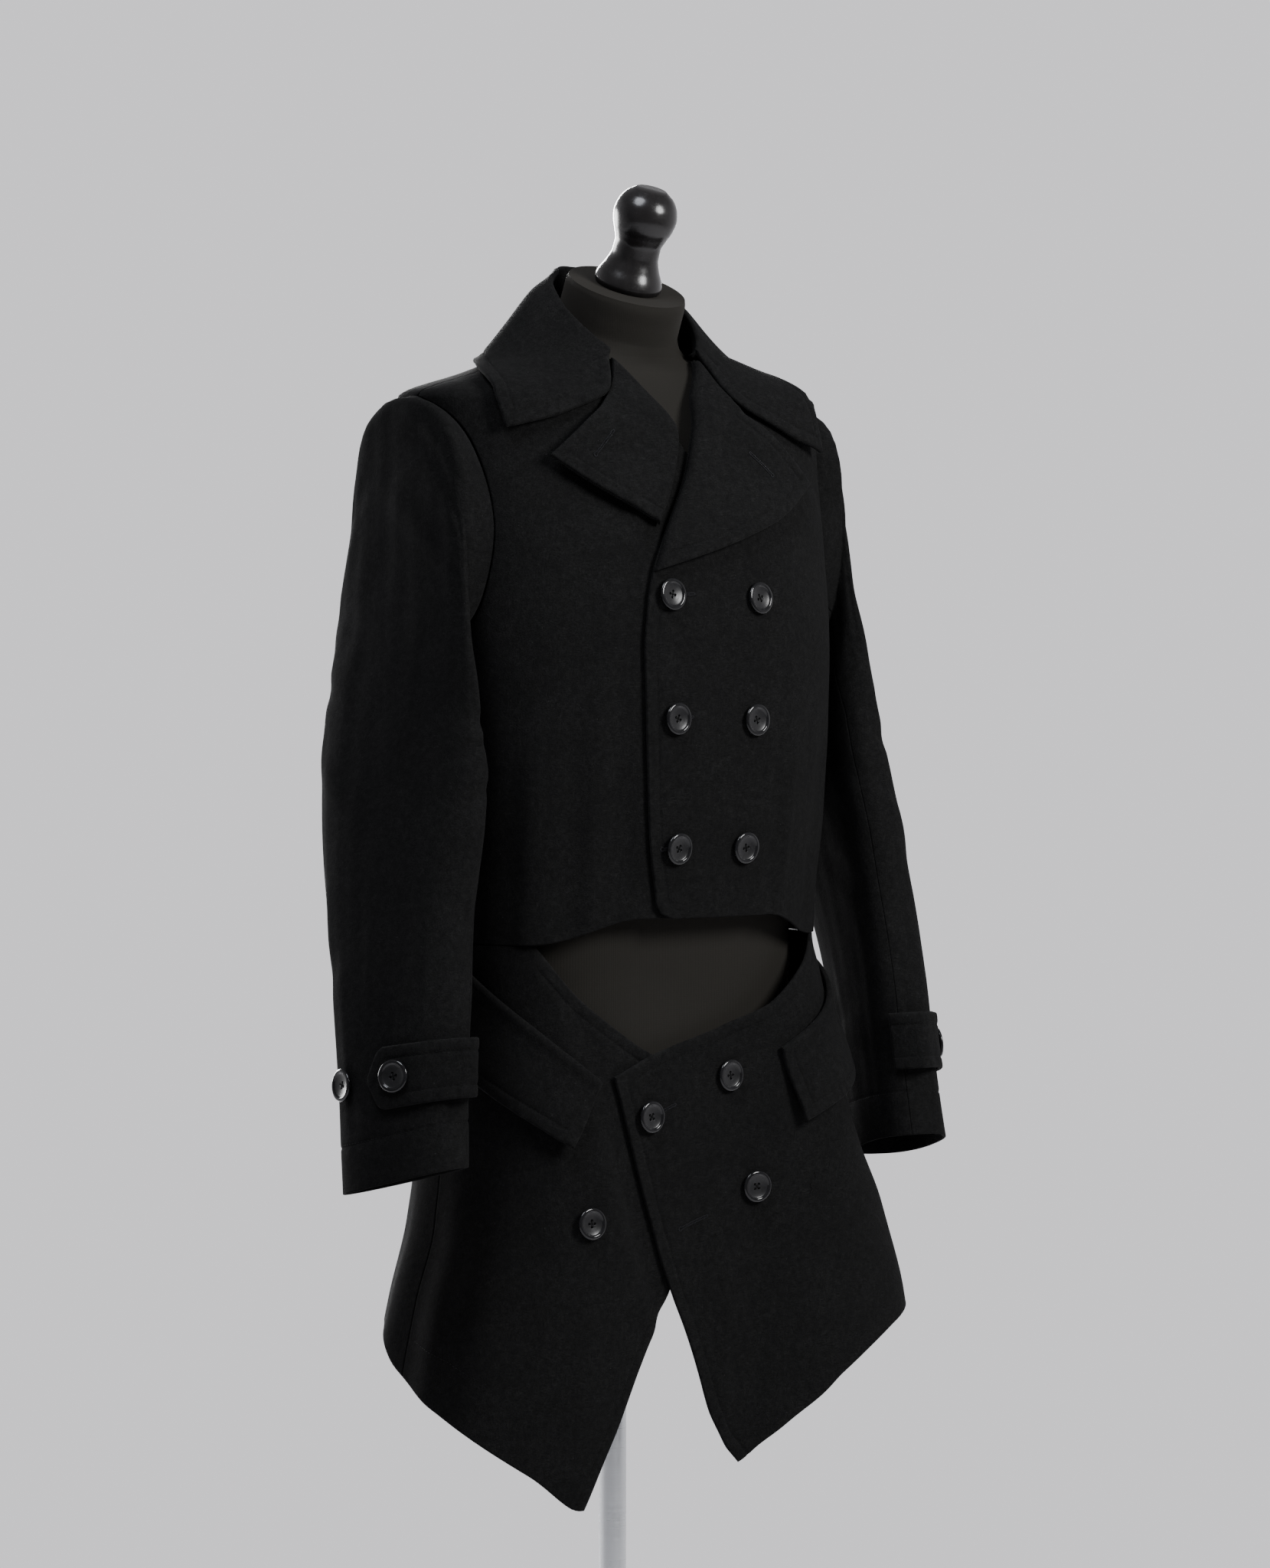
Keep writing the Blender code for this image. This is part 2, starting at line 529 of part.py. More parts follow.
def collar_net(around, stand_rows, leaf_rows):
    """The collar's outer side, from its seam up the stand, over the fold and down the leaf."""
    along = np.abs(around)
    side = np.where(around < 0, -1.0, 1.0)
    value = {name: np.where(around < 0, curve(along, RIGHT_COLLAR["along"], RIGHT_COLLAR[name]),
                            curve(along, LEFT_COLLAR["along"], LEFT_COLLAR[name])) for name in LEFT_COLLAR}

    def at(bearing, out, height):
        return np.stack([side * out * np.sin(np.radians(bearing)), -out * np.cos(np.radians(bearing)), height], -1)

    seam_top = jacket(value["seam"], np.full(along.shape, 1.492))
    level = np.hypot(seam_top[:, 0], seam_top[:, 1])
    seam = at(value["seam"], level - DOUBLE, seam_top[:, 2] + 0.0009 + 0.0032 * (1 - ease(along / 0.1)))
    fold = at(value["fold_at"], value["fold_out"], value["fold_z"])
    places = [at(value[k + "_at"], value[k + "_out"], value[k + "_z"]) for k in ("upper", "lower", "edge")]
    roll = 0.0062 - 0.0012 * (1 - along)
    outward = places[0] - fold
    outward = outward / np.linalg.norm(outward, axis=-1, keepdims=True)
    inner_top = fold - np.array([0, 0, 1.0]) * roll[:, None]
    rows = [seam * (1 - s) + inner_top * s for s in np.linspace(0, 1, stand_rows)]
    up = np.array([0, 0, 1.0])
    for turn in (40, 80, 120):
        c, s = math.cos(math.radians(turn)), math.sin(math.radians(turn))
        rows.append(inner_top + (1 - c) * roll[:, None] * outward + s * roll[:, None] * up)
    start = rows[-1]
    line = np.stack([start, places[0], places[1], places[2]])
    keys = [0, 0.34, 0.67, 1.0]
    for s in np.linspace(0, 1, leaf_rows + 1)[1:]:
        row = np.stack([[curve(s, keys, line[:, i, k]) for k in range(3)] for i in range(len(along))])
        rows.append(clear_of_jacket(row, DOUBLE + LEAF_GAP))
    return np.stack(rows)


def grid_facing(net, closed=False):
    """The way out at each point of a net whose rows run up and whose columns run round."""
    if closed:
        across = np.roll(net, -1, axis=1) - np.roll(net, 1, axis=1)
    else:
        across = np.gradient(net, axis=1)
    out = np.cross(across, np.gradient(net, axis=0))
    return out / np.linalg.norm(out, axis=-1, keepdims=True)


def sleeve_ring(down, steps, left=False):
    """A ring of a sleeve, as the wearer's left one, at a share of the way from the armhole to the cuff."""
    keys = np.linspace(0, 1, len(SLEEVE["out_x"]))
    v = {name: curve(down, keys, column) for name, column in SLEEVE.items()}
    a = np.radians(np.asarray(steps, float) - v["turn"])
    middle = np.array([(v["out_x"] + v["in_x"]) / 2, (v["out_z"] + v["in_z"]) / 2])
    half = np.array([(v["out_x"] - v["in_x"]) / 2, (v["out_z"] - v["in_z"]) / 2])
    power = 2.5
    c, s = np.cos(a), np.sin(a)
    scale = (np.abs(c) ** power + np.abs(s) ** power) ** (-1 / power)
    lateral, fore = scale * c, scale * s
    turn = math.radians(float(v["turn"]))
    deep = fore * v["half_depth"]
    wide = lateral * half[0]
    if left:
        deep = deep * np.where(fore > 0, LEFT_HEAD + (1 - LEFT_HEAD) * ease(down / 0.45), 1)
        outer = (1 + lateral) / 2
        wide = wide + curve(down, LEFT_SHARES, LEFT_OUTER) * outer + curve(down, LEFT_SHARES, LEFT_INNER) * (1 - outer)
    across = wide * math.cos(turn) - deep * math.sin(turn)
    depth = deep * math.cos(turn) + wide * math.sin(turn)
    return np.stack([middle[0] + across, -(v["forward"] + depth), middle[1] + across / half[0] * half[1]
                     + fore * v["rise"]], -1)


def sleeve_net(steps, rows, left):
    """A sleeve from its armhole seam to its cuff, as the wearer's left one."""
    bearing, height = armhole(steps)
    seam = jacket(bearing, height)
    lines = [seam + np.array([0.0007, 0, 0])]
    for share in rows:
        lines.append(sleeve_ring(share, steps, left))
    return np.stack(lines)


def sleeve_facing(net, shares):
    """The way out of a net of the sleeve: away from its middle line."""
    out = grid_facing(net, True)
    away = net[5] - sleeve_ring(shares[4], np.arange(0, 360, 30)).mean(0)
    return out * np.sign(np.sum(out[5] * away))


def on_sleeve(height, steps, left):
    """Points of the sleeve's lower half by height and by place round it, with the ways out."""
    keys = SLEEVE["out_z"][::-1]
    share = curve(height, keys, np.linspace(1, 0, len(keys)))

    def at(share, steps):
        points = [sleeve_ring(a, b, left) for a, b in zip(np.ravel(share), np.ravel(steps))]
        return np.array(points).reshape(*np.shape(steps), 3)

    turn = at(share, steps + 0.5) - at(share, steps - 0.5)
    down = at(share + 0.004, steps) - at(share - 0.004, steps)
    out = np.cross(turn, down)
    out = out / np.linalg.norm(out, axis=-1, keepdims=True)
    middle = np.array([sleeve_ring(a, np.arange(0, 360, 30), left).mean(0) for a in np.ravel(share)])
    away = at(share, steps) - middle.reshape(*np.shape(steps), 3)
    sign = np.sign(np.sum(out * away, axis=-1, keepdims=True))
    return at(share, steps), out * sign


def round_steps(start, end):
    """Places round the sleeve between two seams."""
    steps = sorted(set(ARM_STEPS) | {360 - s for s in ARM_STEPS} | {SEAM_BACK})
    return [s for s in steps if start <= s <= end and (s == SEAM_BACK or abs(s - SEAM_BACK) > 1)]


def tilted(along, radius, sides, up=0.0):
    """A ring of the neck on its leaning axis."""
    lean = math.radians(NECK_LEAN)
    axis = np.array([0, -math.sin(lean), math.cos(lean)])
    side, front = np.array([1.0, 0, 0]), np.array([0, -math.cos(lean), -math.sin(lean)])
    middle = np.array([0, -NECK_ROOT[0], NECK_ROOT[1]]) + axis * (along + up)
    a = np.linspace(0, 2 * math.pi, sides, endpoint=False)
    return [tuple(middle + radius * (math.sin(t) * side + math.cos(t) * front)) for t in a]


def disc(name, centre, out, finish):
    """A rimmed button that stands on cloth."""
    out = Vector(out).normalized()
    frame = Matrix.Translation(Vector(centre) + out * SEW_GAP) @ out.to_track_quat("Z", "Y").to_matrix().to_4x4()
    profile = [(0.0, 0.0098), (0.0016, BUTTON_RADIUS), (0.0030, BUTTON_RADIUS), (BUTTON_HEIGHT, 0.0112),
               (BUTTON_HEIGHT, 0.0098), (0.0030, 0.0086)]
    rings = []
    for height, radius in profile:
        a = [2 * math.pi * i / BUTTON_SIDES for i in range(BUTTON_SIDES)]
        rings.append([frame @ Vector((radius * math.cos(t), radius * math.sin(t), height)) for t in a])
    return add(name, stacked(rings), finish)


def button_on(name, surface, x, height, back=0.0):
    bearing = bearing_for(surface, np.array([x]), np.array([height]))
    out = facing(surface, bearing, np.array([height]))[0]
    return disc(name, surface(bearing, np.array([height]))[0] - out * back, out, horn)


for leftover in list(bpy.data.objects):
    bpy.data.objects.remove(leftover)
pieces = bpy.data.collections.new("coat_on_dress_form")
bpy.context.scene.collection.children.link(pieces)

wool = material("black melton wool", (0.012, 0.012, 0.014), 0.92)
jersey = material("dark brown jersey", (0.020, 0.015, 0.013), 0.85)
horn = material("black button", (0.010, 0.010, 0.011), 0.35)
lacquer = material("gloss black lacquered wood", (0.006, 0.005, 0.005), 0.12)
steel = material("satin steel", (0.56, 0.57, 0.58), 0.34, 1.0)

# Stand and form
turned("base", BASE, steel, 48)
turned("pole", POLE, steel, 24)
bearings = np.linspace(0, 360, FORM_SIDES, endpoint=False)
rings = []
for i, height in enumerate(FORM["height"]):
    row = {name: column[i] for name, column in FORM.items()}
    depth = np.where(np.cos(np.radians(bearings)) > 0, row["front"], row["back"])
    x, f = on_ring(bearings, row["half_width"], depth, row["power"])
    rings.append([(a, -b, height) for a, b in zip(x, f)])
rings += [tilted(along, radius, FORM_SIDES) for along, radius in NECK]
add("form_torso", stacked(rings), jersey)
knob_rings = [tilted(NECK[-1][0], radius, 20, up) for up, radius in KNOB]
add("knob", stacked(knob_rings), lacquer)

# Jacket fronts and back
bearing, height = front_net(11)
panel("jacket_left_front", jacket, bearing, height, SINGLE)
under = -bearing
panel("jacket_right_front", jacket, under, height, SINGLE, -set_back(past_jacket_edge(jacket(under, height))))
near, height = body_side([360 - s for s in ARM_STEPS[::-1]], HALF_GAP, SHOULDER_SEAM + HALF_GAP + 0.6)
u = np.linspace(0, 1, 15)[None]
bearing = near[:, None] * (1 - u) + (360 - near[:, None]) * u
panel("jacket_back", jacket, bearing, height[:, None] + 0 * u, SINGLE)

# Lapels and collar
lapel("left_lapel", LEFT_LAPEL, False)
lapel("right_lapel", RIGHT_LAPEL, True)
half = np.array([0.004, 0.02, 0.045, 0.075, 0.11, 0.15, 0.20, 0.26, 0.34, 0.43, 0.54, 0.66, 0.78, 0.90])
around = np.concatenate([half, [1.0], -half[::-1]])
net = collar_net(around, 4, 6)
out = grid_facing(net)
out = out * np.sign(out[-2, 2, 2])
out[0, :, 2] = 0
out[0] = out[0] / np.linalg.norm(out[0], axis=-1, keepdims=True)
shell("collar", net, out, DOUBLE, wool)

# Sleeves, their straps and their buttons
rows = (0.03, 0.07, 0.14, 0.21, 0.29, 0.37, 0.45, 0.53, 0.60, 0.67, 0.74, 0.81, 0.87, 0.93, 1.0)
for side, sign, left in (("left", 1.0, True), ("right", -1.0, False)):
    flip = np.array([sign, 1, 1])
    steps = np.array(round_steps(0, 359), float)
    net = sleeve_net(steps, rows, left)
    out = sleeve_facing(net, rows)
    front, back = list(steps).index(SEAM_FRONT), list(steps).index(SEAM_BACK)
    for part, taken in (("top", list(range(back, len(steps))) + list(range(front + 1))),
                        ("under", list(range(front, back + 1)))):
        around_steps = steps[taken]
        around_steps[0] += SLEEVE_SEAM_GAP
        around_steps[-1] -= SLEEVE_SEAM_GAP
        net = sleeve_net(around_steps, rows, left)
        shell(side + "_sleeve_" + part, net * flip, out[:, taken] * flip, SLEEVE_WALL, wool)

    round_by = STRAP_TIP + (STRAP_END - STRAP_TIP) * np.array([0, 0.035, 0.07, 0.12, 0.2, 0.3, 0.4, 0.5, 0.6, 0.7,
                                                               0.8, 0.9, 1.0])
    half_height = STRAP_HALF * np.array([0.12, 0.48, 0.82, 1, 1, 1, 1, 1, 1, 1, 1, 1, 1])
    across = np.linspace(1, -1, 4)[:, None]
    net, out = on_sleeve(STRAP_MIDDLE + across * half_height[None], round_by[None] + 0 * across, left)
    place, run, most = STRAP_LOOP
    loop = most * np.exp(-(((round_by - place) / run) ** 2))
    shell(side + "_strap", (net + out * (STRAP_GAP + DOUBLE + loop[None, :, None])) * flip, out * flip, DOUBLE, wool)
    for name, at, lift in (("strap_button", 36.0, STRAP_GAP + DOUBLE), ("cuff_button", -20.0, 0.0)):
        net, out = on_sleeve(np.array([[STRAP_MIDDLE]]), np.array([[at]]), left)
        disc(side + "_" + name, (net + out * lift)[0, 0] * flip, out[0, 0] * flip, horn)

# Skirt
seam = np.linspace(0, 1, 15)
hem_top = WAIST - 0.0002
for side, sign, edge, top in (("left", 1.0, LEFT_FRONT_EDGE, LEFT_TOP_EDGE),
                              ("right", -1.0, RIGHT_FRONT_EDGE, RIGHT_TOP_EDGE)):
    edge = through(edge, seam)
    edge[:, 0] = bearing_for(skirt, edge[:, 0], edge[:, 1])
    top = np.array(top)
    top[:, 0] = bearing_for(skirt, top[:, 0], top[:, 1])
    far = sign * (SIDE_SEAM - HALF_GAP)
    corner = (sign * CUT_OUT_END, hem_top)
    top = np.concatenate([through(list(top) + [corner], np.linspace(0, 1, 10), True),
                          through([corner, (far, hem_top)], np.linspace(0, 1, 5), True)[1:]])
    hem_at = edge[0, 0] + (far - edge[0, 0]) * np.linspace(0, 1, len(top)) ** 0.9
    hem = np.stack([hem_at, curve(hem_at, HEM["bearing"], HEM["height"])], -1)
    side_line = np.stack([np.full(len(seam), far), np.linspace(hem[-1, 1], hem_top, len(seam))], -1)
    grid = patch(edge, side_line, hem, top)
    bearing, height = grid[..., 0], grid[..., 1]
    lift = -skirt_set_back(skirt(bearing, height)) if side == "right" else 0.0
    panel("skirt_" + side + "_front", skirt, bearing, height, SINGLE, lift)
    corners = np.array(FLAPS[side])
    u, v = np.linspace(0, 1, 8)[None, :, None], np.linspace(0, 1, 5)[:, None, None]
    grid = ((1 - v) * ((1 - u) * corners[1] + u * corners[2]) + v * ((1 - u) * corners[0] + u * corners[3]))
    panel(side + "_pocket_flap", skirt, grid[..., 0], grid[..., 1], DOUBLE, LIE_GAP + DOUBLE)
bearing = np.linspace(SIDE_SEAM + HALF_GAP, 360 - SIDE_SEAM - HALF_GAP, 17)[None]
v = seam[:, None]
hem = curve((bearing + 180) % 360 - 180, HEM["bearing"], HEM["height"])
panel("skirt_back", skirt, bearing + 0 * v, hem * (1 - v) + hem_top * v, SINGLE)

# Buttons
for i, (x, height) in enumerate(JACKET_BUTTONS, 1):
    button_on("jacket_button_" + str(i), jacket, x, height)
for i, (x, height) in enumerate(SKIRT_BUTTONS, 1):
    button_on("skirt_button_" + str(i), skirt, x, height, -0.0003)
x, height = UNDER_BUTTON
back = skirt_set_back(np.array([x, 0, height]))
button_on("skirt_button_4", skirt, x, height, float(back))
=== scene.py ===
"""The seen surface of a double-breasted wool coat on its dress form and stand.

Metres, +Z up. The front faces -Y and the wearer's left is +X. A place on the garment is given by its bearing,
in degrees from the centre front towards the wearer's left, and by its height.
"""

import math

import bmesh
import bpy
import numpy as np
from mathutils import Matrix, Vector
from mathutils.bvhtree import BVHTree


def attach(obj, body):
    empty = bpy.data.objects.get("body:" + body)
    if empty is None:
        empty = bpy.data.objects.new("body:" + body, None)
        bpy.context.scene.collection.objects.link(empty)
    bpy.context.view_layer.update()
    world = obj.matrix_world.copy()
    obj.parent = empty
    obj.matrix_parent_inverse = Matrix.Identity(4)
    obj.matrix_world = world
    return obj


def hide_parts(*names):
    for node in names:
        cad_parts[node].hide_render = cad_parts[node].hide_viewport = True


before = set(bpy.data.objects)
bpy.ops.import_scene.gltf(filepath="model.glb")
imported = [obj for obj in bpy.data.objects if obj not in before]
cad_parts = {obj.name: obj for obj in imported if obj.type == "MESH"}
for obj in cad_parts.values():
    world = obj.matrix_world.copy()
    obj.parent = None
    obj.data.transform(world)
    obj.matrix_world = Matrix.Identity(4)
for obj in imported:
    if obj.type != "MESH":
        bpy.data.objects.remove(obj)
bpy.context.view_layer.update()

bl_info = {
    "name": "Wool coat on a dress form",
    "version": (1, 0, 0),
    "blender": (4, 5, 0),
    "location": "3D View > Sidebar > Coat",
    "description": "Makes the cloth, stitching, buttons, dress form and stand of a double-breasted wool coat",
    "category": "Add Mesh",
}

# Cloth
SINGLE = 0.0030          # one layer of melton
SLEEVE_WALL = 0.0024     # the same, pressed flat in the empty sleeves
DOUBLE = 0.0042          # two layers pressed together: collar, lapels, flaps and straps
LIE_GAP = 0.0013         # between a folded or laid-on piece and the cloth that it lies on
STRAP_GAP = 0.0010       # between a cuff strap and its sleeve
LEAF_GAP = 0.0028        # least clear height of the collar leaf over the jacket
SEW_GAP = 0.0007         # between a button and the cloth that it is sewn to
OVERLAP = 0.0051         # how far the under front is set back behind the over front
FLIPS = {"left": (1, 1, 1), "right": (-1, 1, 1)}     # what takes the wearer's left to each side
DEGREE = (0.0026, 1)     # metres round the waist in a degree of bearing, and in a metre of height


def table(names, rows):
    """A table with named columns, from lines of numbers."""
    numbers = np.array([row.split() for row in rows.strip().splitlines()], float)
    return dict(zip(names.split(), numbers.T))


# The jacket's outside: rings from the waist up to the neck. The drops lower a ring at its front and back.
JACKET = table("height front_drop back_drop half_width front back power", """
    0.99  0     0      0.175  0.12   0.1    2.3
    1.022 0     0      0.1755 0.1205 0.1005 2.3
    1.06  0     0      0.1765 0.1225 0.1025 2.3
    1.12  0     0      0.179  0.128  0.108  2.4
    1.2   0     0      0.182  0.132  0.116  2.5
    1.27  0     0      0.186  0.131  0.122  2.45
    1.33  0     0      0.187  0.124  0.125  2.35
    1.39  0.004 0      0.19   0.106  0.122  2.3
    1.43  0.01  0.003  0.194  0.093  0.112  2.25
    1.452 0.018 0.006  0.197  0.084  0.102  2.2
    1.472 0.02  0.004  0.137  0.071  0.086  2.1
    1.492 0.016 -0.006 0.074  0.06   0.07   2
""")

# The skirt's outside: rings from the hem up to the waist. The recess is how far the centre front is drawn in.
SKIRT = table("height right left front back recess power right_power left_power", """
    0.56  0.226  0.31   0.118  0.13   0.022 2.35 2.35 3.3
    0.7   0.206  0.272  0.12   0.126  0.02  2.4  2.4  3.3
    0.74  0.196  0.26   0.12   0.124  0.019 2.4  2.4  3.4
    0.8   0.175  0.236  0.12   0.122  0.018 2.4  2.4  3.45
    0.85  0.169  0.213  0.12   0.118  0.017 2.4  2.4  3.3
    0.92  0.17   0.195  0.12   0.111  0.016 2.4  2.4  2.8
    0.99  0.1745 0.183  0.1205 0.103  0.018 2.35 2.35 2.4
    1.022 0.1755 0.1755 0.1205 0.1005 0.018 2.3  2.3  2.3
    1.06  0.1765 0.1765 0.1225 0.1025 0.018 2.3  2.3  2.3
""")
RECESS_FULL = 22.0       # bearing up to which the skirt's recess is full
RECESS_END = 56.0        # bearing where it has faded out

# The dress form: rings from its foot up to the root of the neck
FORM = table("height half_width front back power", """
    0.76   0.148  0.084 0.094 2.2
    0.8    0.154  0.09  0.101 2.25
    0.87   0.158  0.093 0.102 2.35
    0.94   0.159  0.093 0.096 2.4
    1.01   0.16   0.092 0.09  2.45
    1.07   0.158  0.093 0.088 2.4
    1.15   0.161  0.103 0.096 2.35
    1.25   0.166  0.111 0.106 2.3
    1.32   0.165  0.104 0.109 2.25
    1.37   0.162  0.09  0.105 2.2
    1.41   0.16   0.077 0.095 2.15
    1.4408 0.1572 0.066 0.083 2.1
    1.4613 0.1475 0.059 0.072 2.05
    1.4713 0.1255 0.055 0.066 2
    1.4793 0.099  0.05  0.062 2
    1.485  0.064  0.051 0.056 2
""")
# The neck leans forward: its rings stand on a tilted axis, each given by the way along it and its radius
NECK = [(0.053, 0.05), (0.068, 0.0492), (0.082, 0.049), (0.0865, 0.0478)]
NECK_ROOT = np.array([0, 0.0145, 1.462])
NECK_LEAN = math.radians(22.5)
NECK_AXIS = np.array([0, -math.sin(NECK_LEAN), math.cos(NECK_LEAN)])
# The turned knob on the neck: height above the neck cap and radius
KNOB = [(0.0003, 0.0262), (0.004, 0.0275), (0.009, 0.0262), (0.018, 0.022), (0.028, 0.019), (0.036, 0.0188),
        (0.044, 0.0212), (0.052, 0.0243), (0.0605, 0.0257), (0.069, 0.024),
        (0.0765, 0.0195), (0.082, 0.0125)]
POLE_RADIUS = 0.0110
POLE_FOOT = 0.0303
POLE_TOP = 0.7597
BASE_RADIUS = 0.190
# The round base: height and radius
BASE = [(0, BASE_RADIUS - 0.0015), (0.0015, BASE_RADIUS), (0.0105, BASE_RADIUS), (0.013, BASE_RADIUS - 0.003),
        (0.0165, 0.06), (0.019, 0.034), (0.024, 0.024), (0.029, 0.022), (0.03, 0.0205)]

# The armhole, round from the shoulder point by the front: its place on the jacket
ARMHOLE = table("round height bearing", """
    0   1.452 89.6
    20  1.441 82.5
    45  1.417 76
    90  1.343 69.5
    125 1.29  72.5
    150 1.264 79
    180 1.25  92.5
    210 1.264 105.5
    235 1.29  113
    270 1.343 117
    315 1.417 110.5
    340 1.441 101
    360 1.452 89.6
""")

# The sleeve: rings from the armhole to the cuff, each by its outer and inner point, its middle and its half
# depth. The turn faces the outer side forward, and the rise lifts the front edge.
SLEEVE = table("out_x out_z in_x in_z forward half_depth turn rise", """
    0.2015 1.4495 0.191  1.244 -0.002 0.068  0  0
    0.2055 1.435  0.19   1.239 -0.006 0.07   0  0
    0.209  1.39   0.1885 1.229 -0.008 0.074  0  0
    0.21   1.335  0.1885 1.215 -0.01  0.08   1  0
    0.2155 1.27   0.1885 1.192 -0.006 0.085  3  0
    0.2285 1.21   0.189  1.16  0.001  0.086  7  0
    0.245  1.14   0.195  1.115 0.012  0.081  10 0.001
    0.2668 1.05   0.2055 1.045 0.03   0.066  15 0.004
    0.2805 0.98   0.214  0.978 0.047  0.0575 18 0.008
    0.2868 0.91   0.2215 0.91  0.058  0.0535 19 0.01
    0.2915 0.844  0.2255 0.844 0.066  0.051  20 0.0125
""")
SEAM_FRONT = 125         # where the sleeve's seams run, round from its outer side by the front
SEAM_BACK = 292
SEAM_END = 0.03          # share of the way down where the sleeve has left the armhole's seam
SLEEVE_LENGTH = 0.66
CUFF_STITCH = 0.036      # height of the cuff's stitch line over its hem
# The sleeve's head is eased in, so it stands full where it crosses the shoulder: middle and reach round the
# sleeve, share of the way down that it runs, and height
HEAD_MIDDLE, HEAD_SPAN, HEAD_RUN, HEAD_FULL = 350, 95, 0.2, 0.006
LEFT_HEAD = 0.84         # the left sleeve's head falls in at its front: its half depth there as a share
LEFT_CORNER = (128, 27, 0.007)       # the left sleeve turns its front seam forward: place, spread, height
# How much further out the left sleeve's outer side hangs than the right one's, by share of the way down, and
# how much further in its inner side
LEFT_SHARES = np.linspace(0, 1, 11)
LEFT_OUTER = np.array([0, -1, -1, 1, 5.5, 7.5, 7, 2, -5, -9, -6.5]) / 1000
LEFT_INNER = np.array([0, 0, 0, 0, 0, 0, 0, -1, -5, -8.5, -8.5]) / 1000

# The jacket front's edge: the overlap up to the break, then the roll line of the lapel
FRONT_EDGE = table("height x", """
    1.022 -0.05
    1.041 -0.0515
    1.07  -0.056
    1.12  -0.063
    1.19  -0.068
    1.25  -0.069
    1.29  -0.065
    1.312 -0.059
    1.344 -0.0434
    1.393 -0.012
    1.44  0.009
    1.47  0.0215
    1.492 0.042
""")
SIDE_SEAM = 93.0         # bearing of the side seams
SHOULDER_SEAM = 89.6     # bearing of the shoulder seams
HALF_GAP = 0.06          # half of a seam's gap, in degrees of bearing
NECK_EDGE = 1.492        # height of the ring at the jacket's neck
WAIST = 1.022            # height of the waist seam
SKIRT_TOP = WAIST - 0.0002
FRONT_CORNER = 0.014     # how far the lower corner of a jacket front is rounded off
HEM_FRONT = 1.041        # height of the jacket's hem at the centre front
HEM_LEVEL = 30.0         # bearing up to which the jacket's hem is level
HEM_JOIN = 62.0          # bearing where it meets the waist seam

# Lapels, as places on the jacket: x towards the wearer's own lapel side, and height
LEFT_LAPEL = {
    "roll": [(0.042, 1.492), (0.0215, 1.47), (0.009, 1.44), (-0.012, 1.393), (-0.0434, 1.344),
             (-0.058, 1.314)],
    "gorge": [(0.042, 1.492), (0.053, 1.472), (0.0645, 1.45)],
    "point": [(0.0645, 1.45), (0.0955, 1.417), (0.1265, 1.384)],
    "lower": [(-0.058, 1.314), (0.033, 1.3395), (0.08, 1.3565), (0.1265, 1.384)],
}
RIGHT_LAPEL = {
    "roll": [(0.042, 1.492), (0.0215, 1.47), (0.009, 1.442), (0.027, 1.383), (0.046, 1.352)],
    "gorge": [(0.042, 1.492), (0.055, 1.474), (0.07, 1.459)],
    "point": [(0.07, 1.459), (0.101, 1.431), (0.131, 1.404)],
    "lower": [(0.046, 1.352), (0.074, 1.364), (0.1, 1.38), (0.131, 1.404)],
}

# The collar, from the gorge round to the centre back: bearing, distance from the neck's middle and height of
# its seam with the jacket, its fold, two places down the leaf, and the leaf's edge
COLLAR_COLUMNS = ("along seam fold_at fold_out fold_z upper_at upper_out upper_z lower_at lower_out lower_z "
                  "edge_at edge_out edge_z")
COLLAR_BACK = """\
    0.5  95  95  0.055 1.544 97  0.074 1.533 99  0.0985 1.508 101 0.1245 1.48
    0.75 137 137 0.043 1.559 137 0.06  1.545 137 0.0815 1.514 137 0.1015 1.478
    1    180 180 0.06  1.565 180 0.075 1.548 180 0.09   1.516 180 0.104  1.474
"""
RIGHT_COLLAR = table(COLLAR_COLUMNS, """
    0    40.5 40 0.0665 1.494  41 0.1082 1.4543 54.5 0.14  1.437 67   0.1755 1.4242
    0.12 50   52 0.066  1.5045 55 0.094  1.4785 63   0.131 1.464 71.5 0.1705 1.447
    0.3  68   70 0.064  1.523  74 0.085  1.504  79   0.115 1.486 84   0.1485 1.474
""" + COLLAR_BACK)
LEFT_COLLAR = table(COLLAR_COLUMNS, """
    0    40.5 40 0.0668 1.4945 38.2 0.105 1.4445 53.5 0.1412 1.4211 64.8 0.1669 1.408
    0.12 50   52 0.066  1.504  54   0.094 1.473  63   0.1275 1.4545 71.5 0.1545 1.441
    0.3  68   70 0.064  1.5215 74   0.085 1.5    79   0.113  1.483  84   0.143  1.471
""" + COLLAR_BACK)

# The skirt's edges as places: x and height of the two fronts, and bearing and height of the hem
LEFT_FRONT_EDGE = [(0.05, 0.6), (0.0325, 0.621), (0.023, 0.638), (0.0086, 0.675), (-0.006, 0.712),
                   (-0.022, 0.745), (-0.04, 0.795), (-0.062, 0.86), (-0.081, 0.918)]
RIGHT_FRONT_EDGE = [(-0.1125, 0.5775), (-0.094, 0.611), (-0.0744, 0.646), (-0.0553, 0.68), (-0.0358, 0.715),
                    (-0.012, 0.757), (0.018, 0.815), (0.04, 0.86), (0.06, 0.9)]
LEFT_TOP_EDGE = [(-0.081, 0.918), (-0.0416, 0.9335), (0.0277, 0.953), (0.0725, 0.967), (0.116, 0.998)]
RIGHT_TOP_EDGE = [(0.06, 0.9), (0.01, 0.914), (-0.0387, 0.9335), (-0.107, 0.977)]
CUT_OUT_END = 61.0       # bearing where the skirt's top edge leaves the waist seam
HEM = table("bearing height", """
    -180 0.728
    -115 0.719
    -104 0.708
    -96  0.687
    -84  0.6645
    -72  0.6415
    -60  0.6095
    -48  0.5795
    16   0.585
    24   0.5985
    32   0.611
    40   0.63
    52   0.669
    64   0.705
    72   0.714
    115  0.728
    180  0.728
""")

